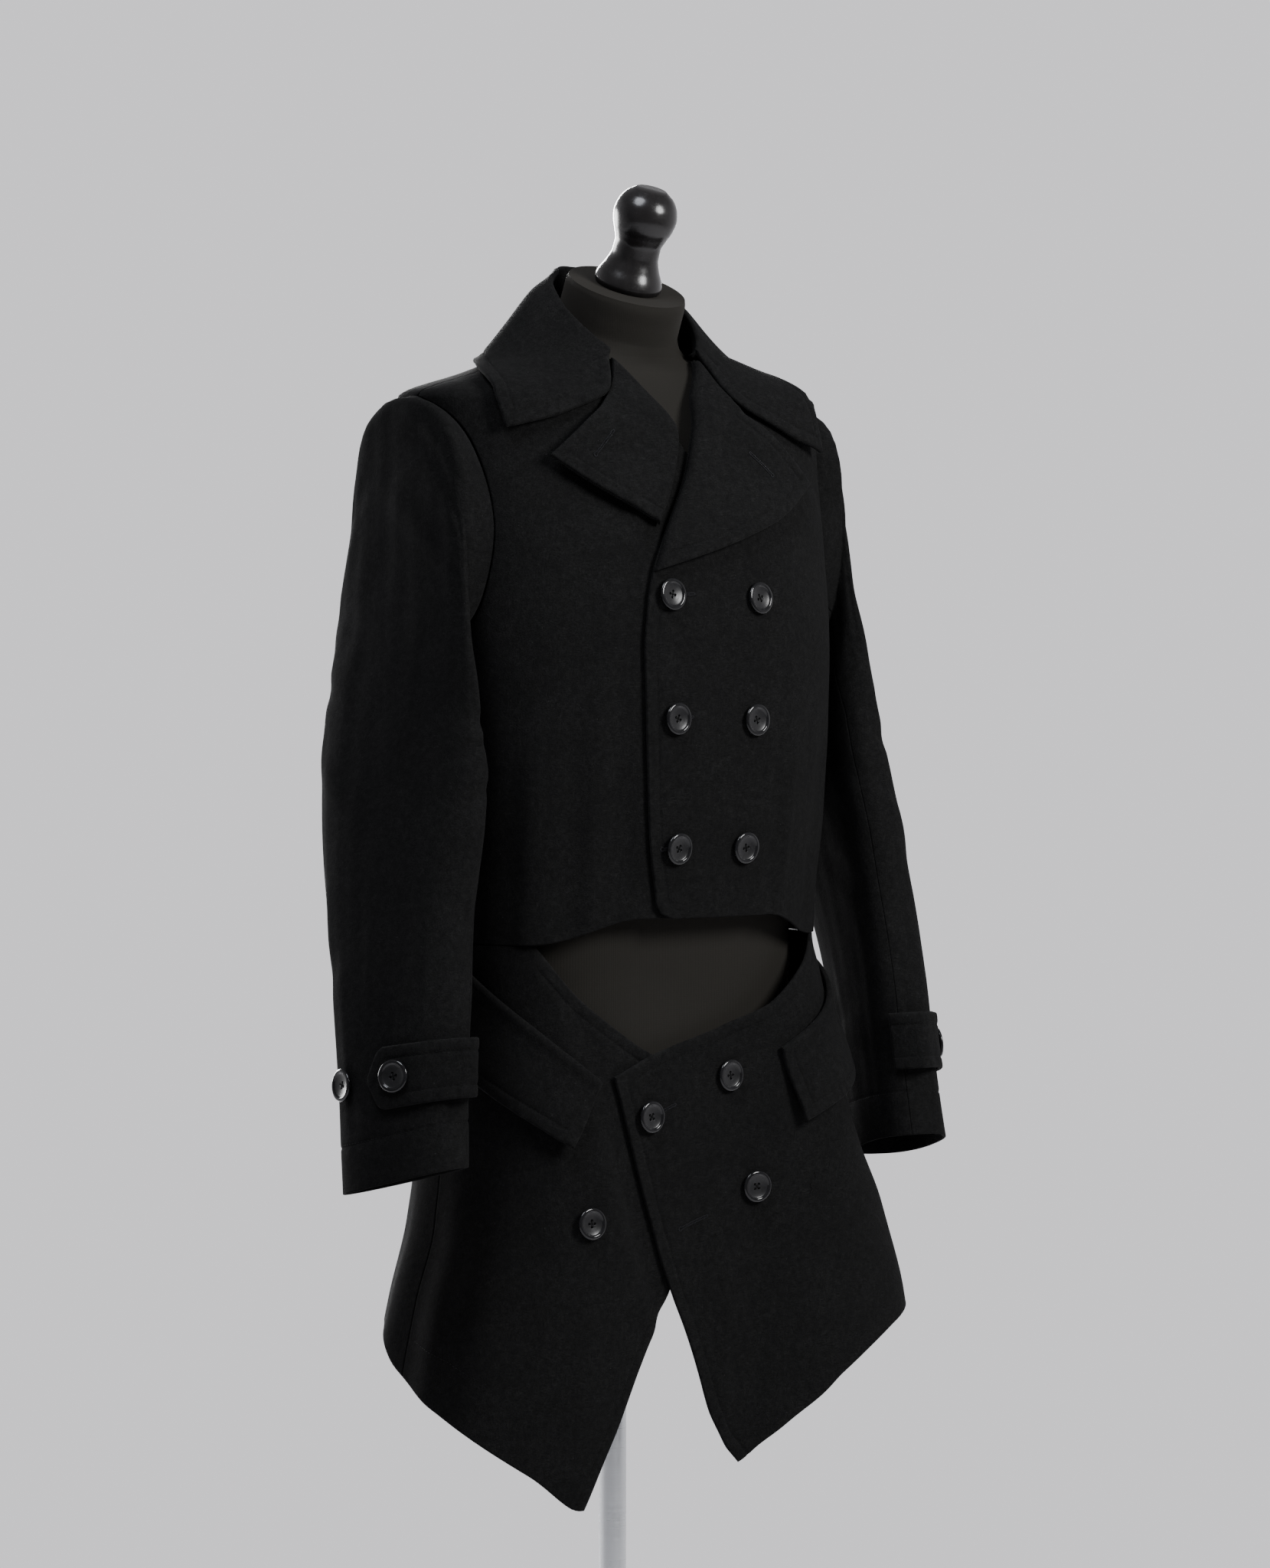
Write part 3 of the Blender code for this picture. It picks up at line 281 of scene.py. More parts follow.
# Pocket flaps by bearing and height: top front, low front, low rear and top rear corner
FLAPS = {
    "right": [(-43.0, 0.915), (-51.5, 0.864), (-84.0, 0.93), (-80.0, 1.005)],
    "left": [(38.5, 0.934), (43.0, 0.874), (84.0, 0.93), (81.0, 1.004)],
}

# Buttons, by x and height
JACKET_BUTTONS = [(-0.045, 1.296), (0.045, 1.293), (-0.042, 1.199), (0.039, 1.197), (-0.036, 1.097),
                  (0.033, 1.096)]
SKIRT_BUTTONS = [(-0.046, 0.885), (0.035, 0.914), (0.062, 0.824)]
UNDER_BUTTON = (-0.104, 0.804)

# Cuff straps, round from the sleeve's outer side by the front
STRAP_TIP = 10.0
STRAP_END = 134.0
STRAP_MIDDLE = 0.924     # height of its middle
STRAP_HALF = 0.024       # half of its height
STRAP_LOOP = (104, 20, 0.0095)       # where it stands off the sleeve's front edge, how far round, by how much
# Each sleeve's buttons: name, place round the sleeve, height off it
CUFF_BUTTONS = [("strap_button", 36, STRAP_GAP + DOUBLE), ("cuff_button", -20, 0)]

# The buttons' outline: height and radius
BUTTON = [(0.0002, 0), (0.0002, 0.008), (0.0005, 0.0104), (0.0012, 0.0119), (0.0021, 0.0126),
          (0.0029, 0.0127), (0.0036, 0.0123), (0.004, 0.0115), (0.0041, 0.0107), (0.004, 0.01),
          (0.0036, 0.0094), (0.0031, 0.009), (0.0029, 0.0084), (0.00255, 0.007), (0.0022, 0.005), (0.0019, 0.0028),
          (0.0018, 0)]

# Soft folds: bearing at the low end and at the high end, half width in degrees, depth, and the heights
# between which they run
JACKET_FOLDS = [
    (-38, -38, 8, -0.0035, 1.04, 1.27), (-58, -58, 10, 0.003, 1.03, 1.22), (54, 54, 9, -0.003, 1.03, 1.24),
    (140, 140, 10, 0.003, 1.03, 1.3), (218, 218, 11, -0.003, 1.03, 1.28),
    (-52, -45, 6, -0.0022, 1.05, 1.27), (-63, -58, 5, 0.0016, 1.04, 1.24), (-27, -30, 5, 0.001, 1.07, 1.2),
    (36, 33, 5, 0.002, 1.05, 1.29), (29, 27, 4, -0.001, 1.05, 1.24), (47, 42, 5, -0.0012, 1.06, 1.3),
    (68, 61, 5, 0.0018, 1.03, 1.26), (79, 72, 5, -0.0016, 1.03, 1.23), (-80, -74, 6, -0.0016, 1.03, 1.22),
    (118, 124, 8, -0.0022, 1.03, 1.27), (160, 163, 8, -0.0018, 1.03, 1.22),
    (184, 182, 8, 0.0016, 1.03, 1.26), (202, 198, 7, -0.0014, 1.03, 1.2), (236, 230, 8, 0.002, 1.03, 1.25),
    (254, 246, 7, -0.0018, 1.03, 1.22)
]
SKIRT_FOLDS = [
    (-70, -70, 11, 0.005, 0.56, 0.88), (-92, -92, 10, -0.005, 0.58, 0.86), (62, 62, 12, 0.004, 0.56, 0.84),
    (140, 140, 15, -0.006, 0.6, 0.96), (172, 172, 13, 0.005, 0.6, 0.94), (215, 215, 15, -0.006, 0.6, 0.95),
    (-55, -52, 7, -0.002, 0.56, 0.8), (-36, -34, 7, 0.0018, 0.56, 0.78), (-15, -17, 6, -0.0012, 0.6, 0.86),
    (18, 20, 6, 0.0014, 0.6, 0.82), (34, 31, 6, -0.0018, 0.6, 0.86), (48, 44, 6, 0.0014, 0.6, 0.8),
    (78, 80, 7, -0.002, 0.62, 0.92), (104, 104, 8, 0.0022, 0.62, 0.9), (122, 120, 7, -0.0018, 0.62, 0.88),
    (156, 158, 7, -0.0016, 0.62, 0.9), (194, 192, 8, -0.0018, 0.62, 0.9), (236, 236, 8, 0.0022, 0.62, 0.88),
    (252, 250, 7, -0.0018, 0.62, 0.9)
]
# Drag lines in the empty sleeves: share of the way down, place round, slant, half length round, half width
# down, depth
SLEEVE_CREASES = [
    (0.16, 38, 0.001, 46, 0.034, -0.0022), (0.27, 20, 0.0012, 50, 0.04, 0.0018),
    (0.44, 96, -0.0012, 44, 0.026, -0.0024), (0.5, 84, -0.0014, 48, 0.024, -0.0026),
    (0.56, 100, -0.001, 44, 0.024, -0.0022), (0.63, 66, -0.0013, 46, 0.03, 0.0016),
    (0.7, 92, 0.0008, 44, 0.03, -0.0016), (0.38, 312, 0.0011, 44, 0.034, -0.0018),
    (0.48, 300, 0.001, 40, 0.028, -0.002), (0.58, 318, 0.0012, 46, 0.034, 0.0016),
    (0.75, 330, -0.0009, 44, 0.036, -0.0014), (0.2, 200, 0.0008, 50, 0.04, -0.0022),
    (0.34, 170, -0.001, 46, 0.034, 0.0018), (0.52, 190, 0.0011, 50, 0.032, -0.0022),
    (0.66, 168, -0.001, 50, 0.034, -0.0016), (0.84, 200, 0.0008, 50, 0.034, -0.001)
]

# Stitched edges
BAND = 0.0100            # the stitch line's distance from a finished edge
PUFF = 0.0004            # how much the band outside it swells
GROOVE = 0.0005          # how deep the stitches pull the cloth in
STITCH_MARK = 9          # which of the distances from a finished edge is the stitch line's
SIDES = ("low", "end", "high", "start")       # in the order in which a piece's edges are given
WHOLE = (0.0, 1.0)       # an edge that is finished and stitched from end to end
stitch_lines = []        # filled while the cloth is made
# Distances from each kind of edge at which the cloth has points
NEAR = {kind: np.array(distances) / 1000 for kind, distances in {
    "finished": (0, 0.3, 0.8, 1.5, 2.4, 4.5, 7, 8.6, 9.4, 10, 10.6, 11.4, 13.5, 17, 22),
    "turned": (0, 0.3, 0.8, 1.5, 2.4, 4, 7, 11),
    "seam": (0, 0.3, 0.8, 1.5, 3, 5.5),
    "cuff": (0, 0.3, 0.8, 1.5, 2.4, 4, 7, 11, 20, 29, 33.5, 35, 36, 37, 38.5, 43),
    "roll": (0, 0.3, 0.8, 1.5, 2.4, 3.6, 5.2, 7, 11),
}.items()}

# Names of the finishes
WOOL = "felted melton wool"
# painted shade: the finish of the dark sheets in the buttonholes' slits, where no light reaches
SLIT_SHADE = "cut edge of melton wool"
TOPSTITCH = "spun polyester topstitch thread"
TWIST = "waxed buttonhole twist"
SHANK = "thread of the button shanks"
JERSEY = "knitted cotton jersey"
HORN = "polished polyester button"
LACQUER = "black lacquered turned wood"
STEEL = "satin brushed steel"
PAPER = "matt painted studio floor"


def curve(at, keys, values):
    """Smooth curve through a table's points that never overshoots them."""
    at, keys, values = (np.asarray(v, float) for v in (at, keys, values))
    step = np.diff(keys)
    slope = np.diff(values) / step
    tangent = np.zeros_like(values)
    tangent[0], tangent[-1] = slope[0], slope[-1]
    for i in range(1, len(keys) - 1):
        if slope[i - 1] * slope[i] > 0:
            w1, w2 = 2 * step[i] + step[i - 1], step[i] + 2 * step[i - 1]
            tangent[i] = (w1 + w2) / (w1 / slope[i - 1] + w2 / slope[i])
    at = np.clip(at, keys[0], keys[-1])
    i = np.clip(np.searchsorted(keys, at, side="right") - 1, 0, len(step) - 1)
    s = (at - keys[i]) / step[i]
    return ((2 * s**3 - 3 * s**2 + 1) * values[i] + (s**3 - 2 * s**2 + s) * step[i] * tangent[i]
            + (3 * s**2 - 2 * s**3) * values[i + 1] + (s**3 - s**2) * step[i] * tangent[i + 1])


def curves(at, keys, points):
    """The same for each column of points."""
    return np.stack([curve(at, keys, column) for column in np.asarray(points, float).T], -1)


def row_of(rows, at, keys):
    """A row between a table's rows."""
    return {name: curve(at, keys, values) for name, values in rows.items()}


def run_of(points, scale=1.0):
    """How far along a line of points each of them lies."""
    return np.concatenate([[0], np.cumsum(np.linalg.norm(np.diff(points, axis=0) * scale, axis=1))])


def through(points, share, scale=1.0):
    """Places at shares of the way along a smooth line of places."""
    keys = run_of(points, scale)
    return curves(share, keys / keys[-1], points)


def ease(x):
    """0 below 0, 1 above 1 and a smooth step between."""
    x = np.clip(x, 0, 1)
    return x * x * (3 - 2 * x)


def bell(at, middle, width):
    """1 in the middle, and softly less on both sides."""
    return np.exp(-(((at - middle) / width) ** 2))


def hump(distance, reach):
    """1 at no distance, and softly down to 0 at the reach."""
    return 0.5 + 0.5 * np.cos(math.pi * np.clip(np.abs(distance) / reach, 0, 1))


def round_from(bearing, centre=0):
    """Degrees from a centre, between -180 and 180."""
    return (bearing - centre + 180) % 360 - 180


def unit(ways):
    return ways / np.linalg.norm(ways, axis=-1, keepdims=True)


def together(*values):
    return np.broadcast_arrays(*(np.asarray(v, float) for v in values))


def on_ring(bearing, half_width, depth, power, height):
    """Points of a rounded oval, at bearings from its centre front."""
    sx, cy = np.sin(np.radians(bearing)), np.cos(np.radians(bearing))
    radius = (np.abs(sx / half_width) ** power + np.abs(cy / depth) ** power) ** (-1 / power)
    return np.stack([radius * sx, -radius * cy, height + 0 * radius], -1)


def fold_depth(folds, bearing, height):
    """How far the soft folds push the cloth out."""
    push = np.zeros(np.broadcast(bearing, height).shape)
    for low_centre, high_centre, half_width, depth, low, high in folds:
        rise = np.clip((height - low) / (high - low), 0, 1)
        centre = low_centre + (high_centre - low_centre) * rise
        along = ease((high - height) / (0.6 * (high - low)))
        push = push + depth * hump(round_from(bearing, centre), half_width) * along
    return push


def unevenness(bearing, height, size):
    """Small uneven swells of cloth that hangs by hand, the same each run."""
    a, h = np.radians(bearing), height * 10
    wave = (np.sin(5 * a + 2.1 * h + 0.7) * np.sin(2.3 * h - 3 * a + 1.9)
            + 0.7 * np.sin(11 * a - 1.7 * h + 0.4) * np.sin(3.1 * h + 4 * a)
            + 0.5 * np.sin(17 * a + 3.9 * h + 2.2) * np.sin(5.3 * h - 6 * a + 0.3))
    return size * wave


def jacket(bearing, height):
    """The jacket's outside."""
    row = row_of(JACKET, height, JACKET["height"])
    forward = np.cos(np.radians(bearing))
    depth = np.where(forward > 0, row["front"], row["back"])
    quiet = 1 - ease((height - 1.30) / 0.08)
    push = fold_depth(JACKET_FOLDS, bearing, height) + unevenness(bearing, height, 0.0004) * quiet
    drop = np.where(forward > 0, row["front_drop"], row["back_drop"]) * forward**2
    return on_ring(bearing, row["half_width"] + push, depth + push, row["power"], height - drop)


def skirt(bearing, height):
    """The skirt's outside."""
    row = row_of(SKIRT, height, SKIRT["height"])
    side = round_from(bearing)
    forward = np.cos(np.radians(bearing))
    width = np.where(side > 0, row["left"], row["right"])
    lateral = ease((side + 25) / 50)
    power = row["right_power"] * (1 - lateral) + row["left_power"] * lateral
    power = np.where(forward > 0, power, row["power"])
    inward = 1 - ease((np.abs(side) - RECESS_FULL) / (RECESS_END - RECESS_FULL))
    depth = np.where(forward > 0, row["front"] - row["recess"] * inward, row["back"])
    loose = ease((WAIST - height) / 0.10)
    push = fold_depth(SKIRT_FOLDS, bearing, height) + unevenness(bearing, height, 0.0006) * loose
    return on_ring(bearing, width + push, depth + push, power, height)


def facing(surface, bearing, height):
    """The way out of a surface at a point."""
    turn, rise = 0.4, 0.0006
    across = surface(bearing + turn, height) - surface(bearing - turn, height)
    up = surface(bearing, height + rise) - surface(bearing, height - rise)
    return unit(np.cross(across, up))


def panel_points(surface, bearing, height, lift=0.0):
    """Points and ways out of a piece whose outside lies a lift above a surface."""
    out = facing(surface, bearing, height)
    return surface(bearing, height) + out * np.broadcast_to(lift, bearing.shape)[..., None], out


def bearing_for(surface, x, height):
    """Bearing of the points of the front that lie x to the wearer's left."""
    x, height = together(x, height)
    low, high = np.full(x.shape, -89.0), np.full(x.shape, 89.0)
    for _ in range(26):
        middle = (low + high) / 2
        less = surface(middle, height)[..., 0] < x
        low, high = np.where(less, middle, low), np.where(less, high, middle)
    return (low + high) / 2


def patch(side_a, side_b, start, end):
    """Even patch between two sides that run the same way, closed by a start line and an end line."""
    v = np.linspace(0, 1, len(side_a))[:, None, None]
    u = np.linspace(0, 1, len(start))[None, :, None]
    a, b, s, e = side_a[:, None], side_b[:, None], start[None], end[None]
    corners = ((1 - u) * (1 - v) * a[0, 0] + u * (1 - v) * b[0, 0]
               + (1 - u) * v * a[-1, 0] + u * v * b[-1, 0])
    return (1 - u) * a + u * b + (1 - v) * s + v * e - corners


def armhole(steps):
    """Bearing and height of the armhole's edge."""
    return [curve(steps, ARMHOLE["round"], ARMHOLE[name]) for name in ("bearing", "height")]


def set_back(past_edge, start=0.034, run=0.022):
    """How far a right front lies behind the left one, by how far it is past the left one's edge."""
    return OVERLAP * ease((past_edge + start) / run)


def past_jacket_edge(point):
    """How far a point of the jacket is past the left front's edge."""
    return point[..., 0] - curve(point[..., 2], FRONT_EDGE["height"], FRONT_EDGE["x"])


def skirt_set_back(point):
    """How far the skirt's right front is set back at a point."""
    edge = np.array(LEFT_FRONT_EDGE)
    slope = (edge[-1, 0] - edge[-2, 0]) / (edge[-1, 1] - edge[-2, 1])
    at = curve(point[..., 2], edge[:, 1], edge[:, 0]) + slope * np.maximum(point[..., 2] - edge[-1, 1], 0)
    return set_back(point[..., 0] - at)


def sleeve_ring(down, steps, left):
    """Places of a sleeve, as the wearer's left one, by share of the way down and by place round it."""
    down, steps = together(down, steps)
    v = row_of(SLEEVE, down, np.linspace(0, 1, len(SLEEVE["turn"])))
    turn = np.radians(v["turn"])
    a = np.radians(steps) - turn
    c, s = np.cos(a), np.sin(a)
    scale = (np.abs(c) ** 2.5 + np.abs(s) ** 2.5) ** (-1 / 2.5)
    lateral, fore = scale * c, scale * s
    half_x, half_z = (v["out_x"] - v["in_x"]) / 2, (v["out_z"] - v["in_z"]) / 2
    wide, deep = lateral * half_x, fore * v["half_depth"]
    if left:
        deep = deep * np.where(fore > 0, LEFT_HEAD + (1 - LEFT_HEAD) * ease(down / 0.45), 1)
        outer = (1 + lateral) / 2
        wide = (wide + curve(down, LEFT_SHARES, LEFT_OUTER) * outer
                + curve(down, LEFT_SHARES, LEFT_INNER) * (1 - outer))
    across = wide * np.cos(turn) - deep * np.sin(turn)
    depth = deep * np.cos(turn) + wide * np.sin(turn)
    return np.stack([(v["out_x"] + v["in_x"]) / 2 + across, -(v["forward"] + depth),
                     (v["out_z"] + v["in_z"]) / 2 + across / half_x * half_z + fore * v["rise"]], -1)


def sleeve_surface(down, steps, left):
    """The sleeve's outside from the armhole seam to the cuff, before its drag lines."""
    down, steps = together(down, steps)
    seam = jacket(*armhole(steps % 360)) + np.array([0.0007, 0, 0])
    ring = sleeve_ring(np.maximum(down, SEAM_END), steps, left)
    share = np.sin(np.clip(down / SEAM_END, 0, 1) * math.pi / 2)[..., None]
    return seam * (1 - share) + ring * share


def sleeve_at(down, steps, left):
    """Points of the sleeve with its drag lines, and the ways out."""
    down, steps = together(down, steps)
    round_by = sleeve_surface(down, steps + 1.5, left) - sleeve_surface(down, steps - 1.5, left)
    low, high = np.maximum(down - 0.006, 0), np.minimum(down + 0.006, 1)
    out = unit(np.cross(round_by, sleeve_surface(high, steps, left) - sleeve_surface(low, steps, left)))
    push = unevenness(steps, down * 0.6, 0.0005)
    for share, centre, slant, half_round, half_down, depth in SLEEVE_CREASES:
        side = round_from(steps, centre)
        push = push + depth * hump(side, half_round) * hump(down - share - slant * side, half_down)
    fade = ease(down / 0.08) * ease((1 - down) / 0.10)
    full = HEAD_FULL * np.sin(math.pi * np.clip(down / HEAD_RUN, 0, 1) ** 0.55)
    full = full * hump(round_from(steps, HEAD_MIDDLE), HEAD_SPAN)
    if left:
        place, width, most = LEFT_CORNER
        full = full + most * bell(round_from(steps, place), 0, width) * ease((down - 0.12) / 0.25)
    return sleeve_surface(down, steps, left) + out * (push * fade + full)[..., None], out


def on_sleeve(height, steps, left):
    """Points of the left sleeve's lower half by height and by place round it, with the ways out."""
    keys = SLEEVE["out_z"][::-1]
    return sleeve_at(curve(height, keys, np.linspace(1, 0, len(keys))), steps, left)


def collar_net(around, stand_rows, leaf_rows):
    """The collar's outer side, from its seam up the stand, over the fold and down the leaf."""
    along = np.abs(around)
    side = np.where(around < 0, -1.0, 1.0)
    right, left = (row_of(half, along, half["along"]) for half in (RIGHT_COLLAR, LEFT_COLLAR))
    value = {name: np.where(around < 0, right[name], left[name]) for name in left}

    def at(bearing, out, height):
        turn = np.radians(bearing)
        return np.stack([side * out * np.sin(turn), -out * np.cos(turn), height], -1)

    top = jacket(value["seam"], np.full(along.shape, NECK_EDGE))
    seam = at(value["seam"], np.hypot(top[:, 0], top[:, 1]) - DOUBLE,
              top[:, 2] + 0.0009 + 0.0032 * (1 - ease(along / 0.1)))
    fold, *leaf = (at(*(value[name + part] for part in ("_at", "_out", "_z")))
                   for name in ("fold", "upper", "lower", "edge"))
    roll = (0.0062 - 0.0012 * (1 - along))[:, None]
    outward = unit(leaf[0] - fold)
    up = np.array([0, 0, 1.0])
    inner_top = fold - up * roll
    rows = [seam * (1 - s) + inner_top * s for s in np.linspace(0, 1, stand_rows)]
    for turn in np.radians(np.linspace(0, 120, 13)[1:]):
        rows.append(inner_top + (1 - math.cos(turn)) * roll * outward + math.sin(turn) * roll * up)
    line = np.stack([rows[-1], *leaf])
    for s in np.linspace(0, 1, leaf_rows + 1)[1:]:
        rows.append(np.stack([curves(s, [0, 0.34, 0.67, 1.0], line[:, i]) for i in range(len(along))]))
    net = np.stack(rows)
    first = stand_rows + 12
    net[first:] = clear_of_jacket(net[first:], DOUBLE + LEAF_GAP)
    return net


def clear_of_jacket(net, least):
    """Points moved out of the jacket where they are nearer to it than the least distance."""
    heights = np.linspace(1.380, NECK_EDGE, 85)
    moved = net.copy()
    for j, row in enumerate(net):
        bearing = np.degrees(np.arctan2(row[:, 0], -row[:, 1]))[:, None] + 0 * heights
        line, out = panel_points(jacket, bearing, heights + 0 * bearing)
        pick = np.arange(len(row)), np.argmin(np.linalg.norm(line - row[:, None], axis=2), axis=1)
        above = np.sum((row - line[pick]) * out[pick], axis=1)
        moved[j] = row + out[pick] * np.maximum(least - above, 0)[:, None]
    return moved


def tilted(along, radius, sides):
    """A ring of the neck on its leaning axis."""
    side, front = np.array([1.0, 0, 0]), np.array([0, -NECK_AXIS[2], NECK_AXIS[1]])
    a = np.linspace(0, 2 * math.pi, sides, endpoint=False)[:, None]
    return NECK_ROOT + NECK_AXIS * along + radius * (np.sin(a) * side + np.cos(a) * front)


# Meshes of cloth

def lengths_along(net):
    """Distance of each point of a net from its row's first point."""
    steps = np.linalg.norm(np.diff(net[..., :3], axis=1), axis=2)
    return np.concatenate([np.zeros((len(net), 1)), np.cumsum(steps, axis=1)], axis=1)


def squareness(net, column, inside):
    """How square the rows meet an edge, from 0.5 to 1."""
    edge = np.gradient(net[:, column, :3], axis=0)
    row = net[:, inside, :3] - net[:, column, :3]
    cross = np.linalg.norm(np.cross(edge, row), axis=1)
    sine = cross / (np.linalg.norm(edge, axis=1) * np.linalg.norm(row, axis=1) + 1e-12)
    return np.convolve(np.pad(np.clip(sine, 0.5, 1), 4, mode="edge"), np.ones(9) / 9, mode="valid")


def respaced(net, near, far, cell):
    """A net with its columns at set distances from its first and last one, and evenly spaced between."""
    run = lengths_along(net)
    total = run[:, -1]
    first, last = squareness(net, 0, 3), squareness(net, -1, -4)
    count = max(int(math.ceil((total.max() - near[-1] - far[-1]) / cell)), 3)
    rows = []
    for j, row in enumerate(net):
        a, b = near / first[j], far / last[j]
        shrink = min(1.0, 0.86 * total[j] / (a[-1] + b[-1]))
        a, b = a * shrink, b * shrink
        middle = np.linspace(a[-1], total[j] - b[-1], count + 1)[1:-1]
        at = np.concatenate([a, middle, total[j] - b[::-1]])
        rows.append(np.stack([np.interp(at, run[j], column) for column in row.T], -1))
    return np.array(rows)


def distance_to(points, line):
    """Distance of each point of a net from a line of points."""
    line = line[np.unique(np.linspace(0, len(line) - 1, 90).astype(int))]
    start, run = line[:-1], line[1:] - line[:-1]
    size = np.sum(run**2, axis=1) + 1e-18
    found = []
    for row in points:
        gap = row[:, None] - start
        share = np.clip(np.sum(gap * run, axis=2) / size, 0, 1)
        found.append(np.linalg.norm(gap - share[..., None] * run, axis=2).min(axis=1))
    return np.array(found)


def rounded(distance, radius):
    """How far a rounded edge falls away at a distance from it."""
    d = np.clip(distance, 0, radius)
    return radius - np.sqrt(np.maximum(radius**2 - (radius - d) ** 2, 0))


def stitched_relief(distance):
    """The swollen band along a finished edge, and the groove of its stitch line."""
    band = PUFF * np.sin(math.pi * np.clip(distance / BAND, 0, 1))
    return band - GROOVE * bell(distance, BAND, 0.0012) + 0.0003 * bell(distance - BAND, 0.0045, 0.0026)


def sew(node, points, out, thick, edges, cell, held, rests_on, form=None, roll=0.0):
    """Makes the cloth of a CAD node from a net of points and ways out.

    The edges are the kinds of its four sides. A pair stands for a finished edge, and says between which
    shares of its length it is stitched. The form gives how the piece bends by itself, and roll is the radius
    of a rolled edge. The held argument is not used.
    """
    cell = cell * 1.0
    rows, cols = points.shape[:2]
    v, u = np.meshgrid(np.linspace(0, 1, rows), np.linspace(0, 1, cols), indexing="ij")
    net = np.concatenate([points, out, u[..., None], v[..., None]], axis=2)
    kinds = ["finished" if isinstance(edge, tuple) else edge for edge in edges]
    low, end, high, start = (NEAR[kind] for kind in kinds)
    net = respaced(respaced(net, start, end, cell).transpose(1, 0, 2), low, high, cell).transpose(1, 0, 2)
    point, way, u, v = net[..., :3], unit(net[..., 3:6]), net[..., 6], net[..., 7]

    stitched = np.ones(point.shape[:2])
    fall = lift = np.zeros(point.shape[:2])
    gaps, sewn = {}, []
    lines = (point[0], u), (point[:, -1], v), (point[-1], u), (point[:, 0], v)
    for side, edge, kind, (line, share) in zip(SIDES, edges, kinds, lines):
        gap = gaps[side] = distance_to(point, line)
        first, last = edge if kind == "finished" else (2.0, 3.0)
        sewn.append((share >= first) & (share <= last))
        past = np.maximum(np.maximum(first - share, share - last), 0)
        stitched = np.minimum(stitched, gap + 0.6 * past)
        if kind == "roll":
            fall = np.maximum(fall, rounded(gap, roll))
            lift = np.minimum(lift, -(LIE_GAP - 0.0002) * (1 - ease(gap / 0.006)))
        elif kind == "seam":
            fall = np.maximum(fall, rounded(gap, 0.30 * thick))
        else:
            open_edge = 1 - ease(past / 0.03) if kind == "finished" else 1
            fall = np.maximum(fall, rounded(gap, 0.44 * thick) * open_edge)
            lift = np.maximum(lift, rounded(gap, 0.44 * thick))
        if kind in ("turned", "cuff"):
            fall = fall - 0.0004 * np.sin(math.pi * np.clip(gap / 0.011, 0, 1))
    bend = form(u, v, gaps) if form else 0.0
    fall = np.minimum(fall, thick - lift - 0.0002)
    outer = point + way * (stitched_relief(stitched) - fall + bend)[..., None]
    inner = point - way * (thick - lift - bend)[..., None]
    keep_stitch_lines(outer, way, kinds, sewn)
    made = cloth_mesh(node + "_cloth", outer, inner, way, np.exp(-stitched / 0.0025))

    width, length = (round(float(lengths_along(net)[:, -1].max()), 3)
                     for net in (point, point.transpose(1, 0, 2)))
    dress(made, WOOL, "wool", node)


def keep_stitch_lines(outer, way, kinds, sewn):
    """Notes the lines on which the thread runs, one for each unbroken run of stitched edge."""
    rows, cols = outer.shape[:2]
    done = [kind == "finished" and bool(part.any()) for kind, part in zip(kinds, sewn)]
    low, end, high, start = (STITCH_MARK * side for side in done)
    end, high = cols - 1 - end, rows - 1 - high
    sides = ([(low, c) for c in range(start, end + 1)], [(r, end) for r in range(low, high + 1)],
             [(high, c) for c in range(end, start - 1, -1)], [(r, start) for r in range(high, low - 1, -1)])
    track = [spot if is_done and part[spot] else None
             for is_done, part, side in zip(done, sewn, sides) for spot in side]
    run = []
    for spot in track + [None]:
        if spot:
            run.append(spot)
        elif run:
            stitch_lines.append([outer[p] - way[p] * 0.00005 for p in run])
            run = []


def cloth_mesh(name, outer, inner, way, rub):
    """A closed wall from its two skins."""
    rows, cols = outer.shape[:2]
    index = np.arange(rows * cols).reshape(rows, cols)
    quads = np.stack([index[:-1, :-1], index[:-1, 1:], index[1:, 1:], index[1:, :-1]], -1).reshape(-1, 4)
    rim = np.concatenate([index[0, :-1], index[:-1, -1], index[-1, :0:-1], index[:0:-1, 0]])
    after = np.roll(rim, -1)
    under = rows * cols
    sides = np.stack([rim + under, after + under, after, rim], -1)
    faces = np.concatenate([quads, quads[:, ::-1] + under, sides])
    r, c = rows // 2, cols // 2
    turn = np.cross(outer[r, c + 1] - outer[r, c], outer[r + 1, c] - outer[r, c])
    if np.dot(turn, way[r, c]) < 0:
        faces = faces[:, ::-1]
    data = bpy.data.meshes.new(name)
    points = np.concatenate([outer.reshape(-1, 3), inner.reshape(-1, 3)])
    data.from_pydata(points.tolist(), [], faces.tolist())
    data.shade_smooth()
    worn = data.attributes.new("rub", "FLOAT", "POINT")
    worn.data.foreach_set("value", np.concatenate([rub.ravel(), 0 * rub.ravel()]))
    return linked(name, data)


def linked(name, data):
    """An object at the origin for a mesh."""
    made = bpy.data.objects.new(name, data)
    bpy.context.scene.collection.objects.link(made)
    return made


def dress(made, finish, slot, *nodes):
    """Gives a piece its finish, parents it to the root empty and hides the CAD nodes that it stands for. The slot
    is not used.
    """
    made.data.materials.clear()
    made.data.materials.append(bpy.data.materials[finish])
    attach(made, "root")
    if nodes:
        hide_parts(*nodes)


# Meshes that are turned, lofted or laid along lines

def mesh_object(name, mesh):
    """An object at the origin from a finished mesh."""
    bmesh.ops.recalc_face_normals(mesh, faces=mesh.faces)
    data = bpy.data.meshes.new(name)
    mesh.to_mesh(data)
    mesh.free()
    data.shade_smooth()
    data.set_sharp_from_angle(angle=math.radians(46))
    return linked(name, data)


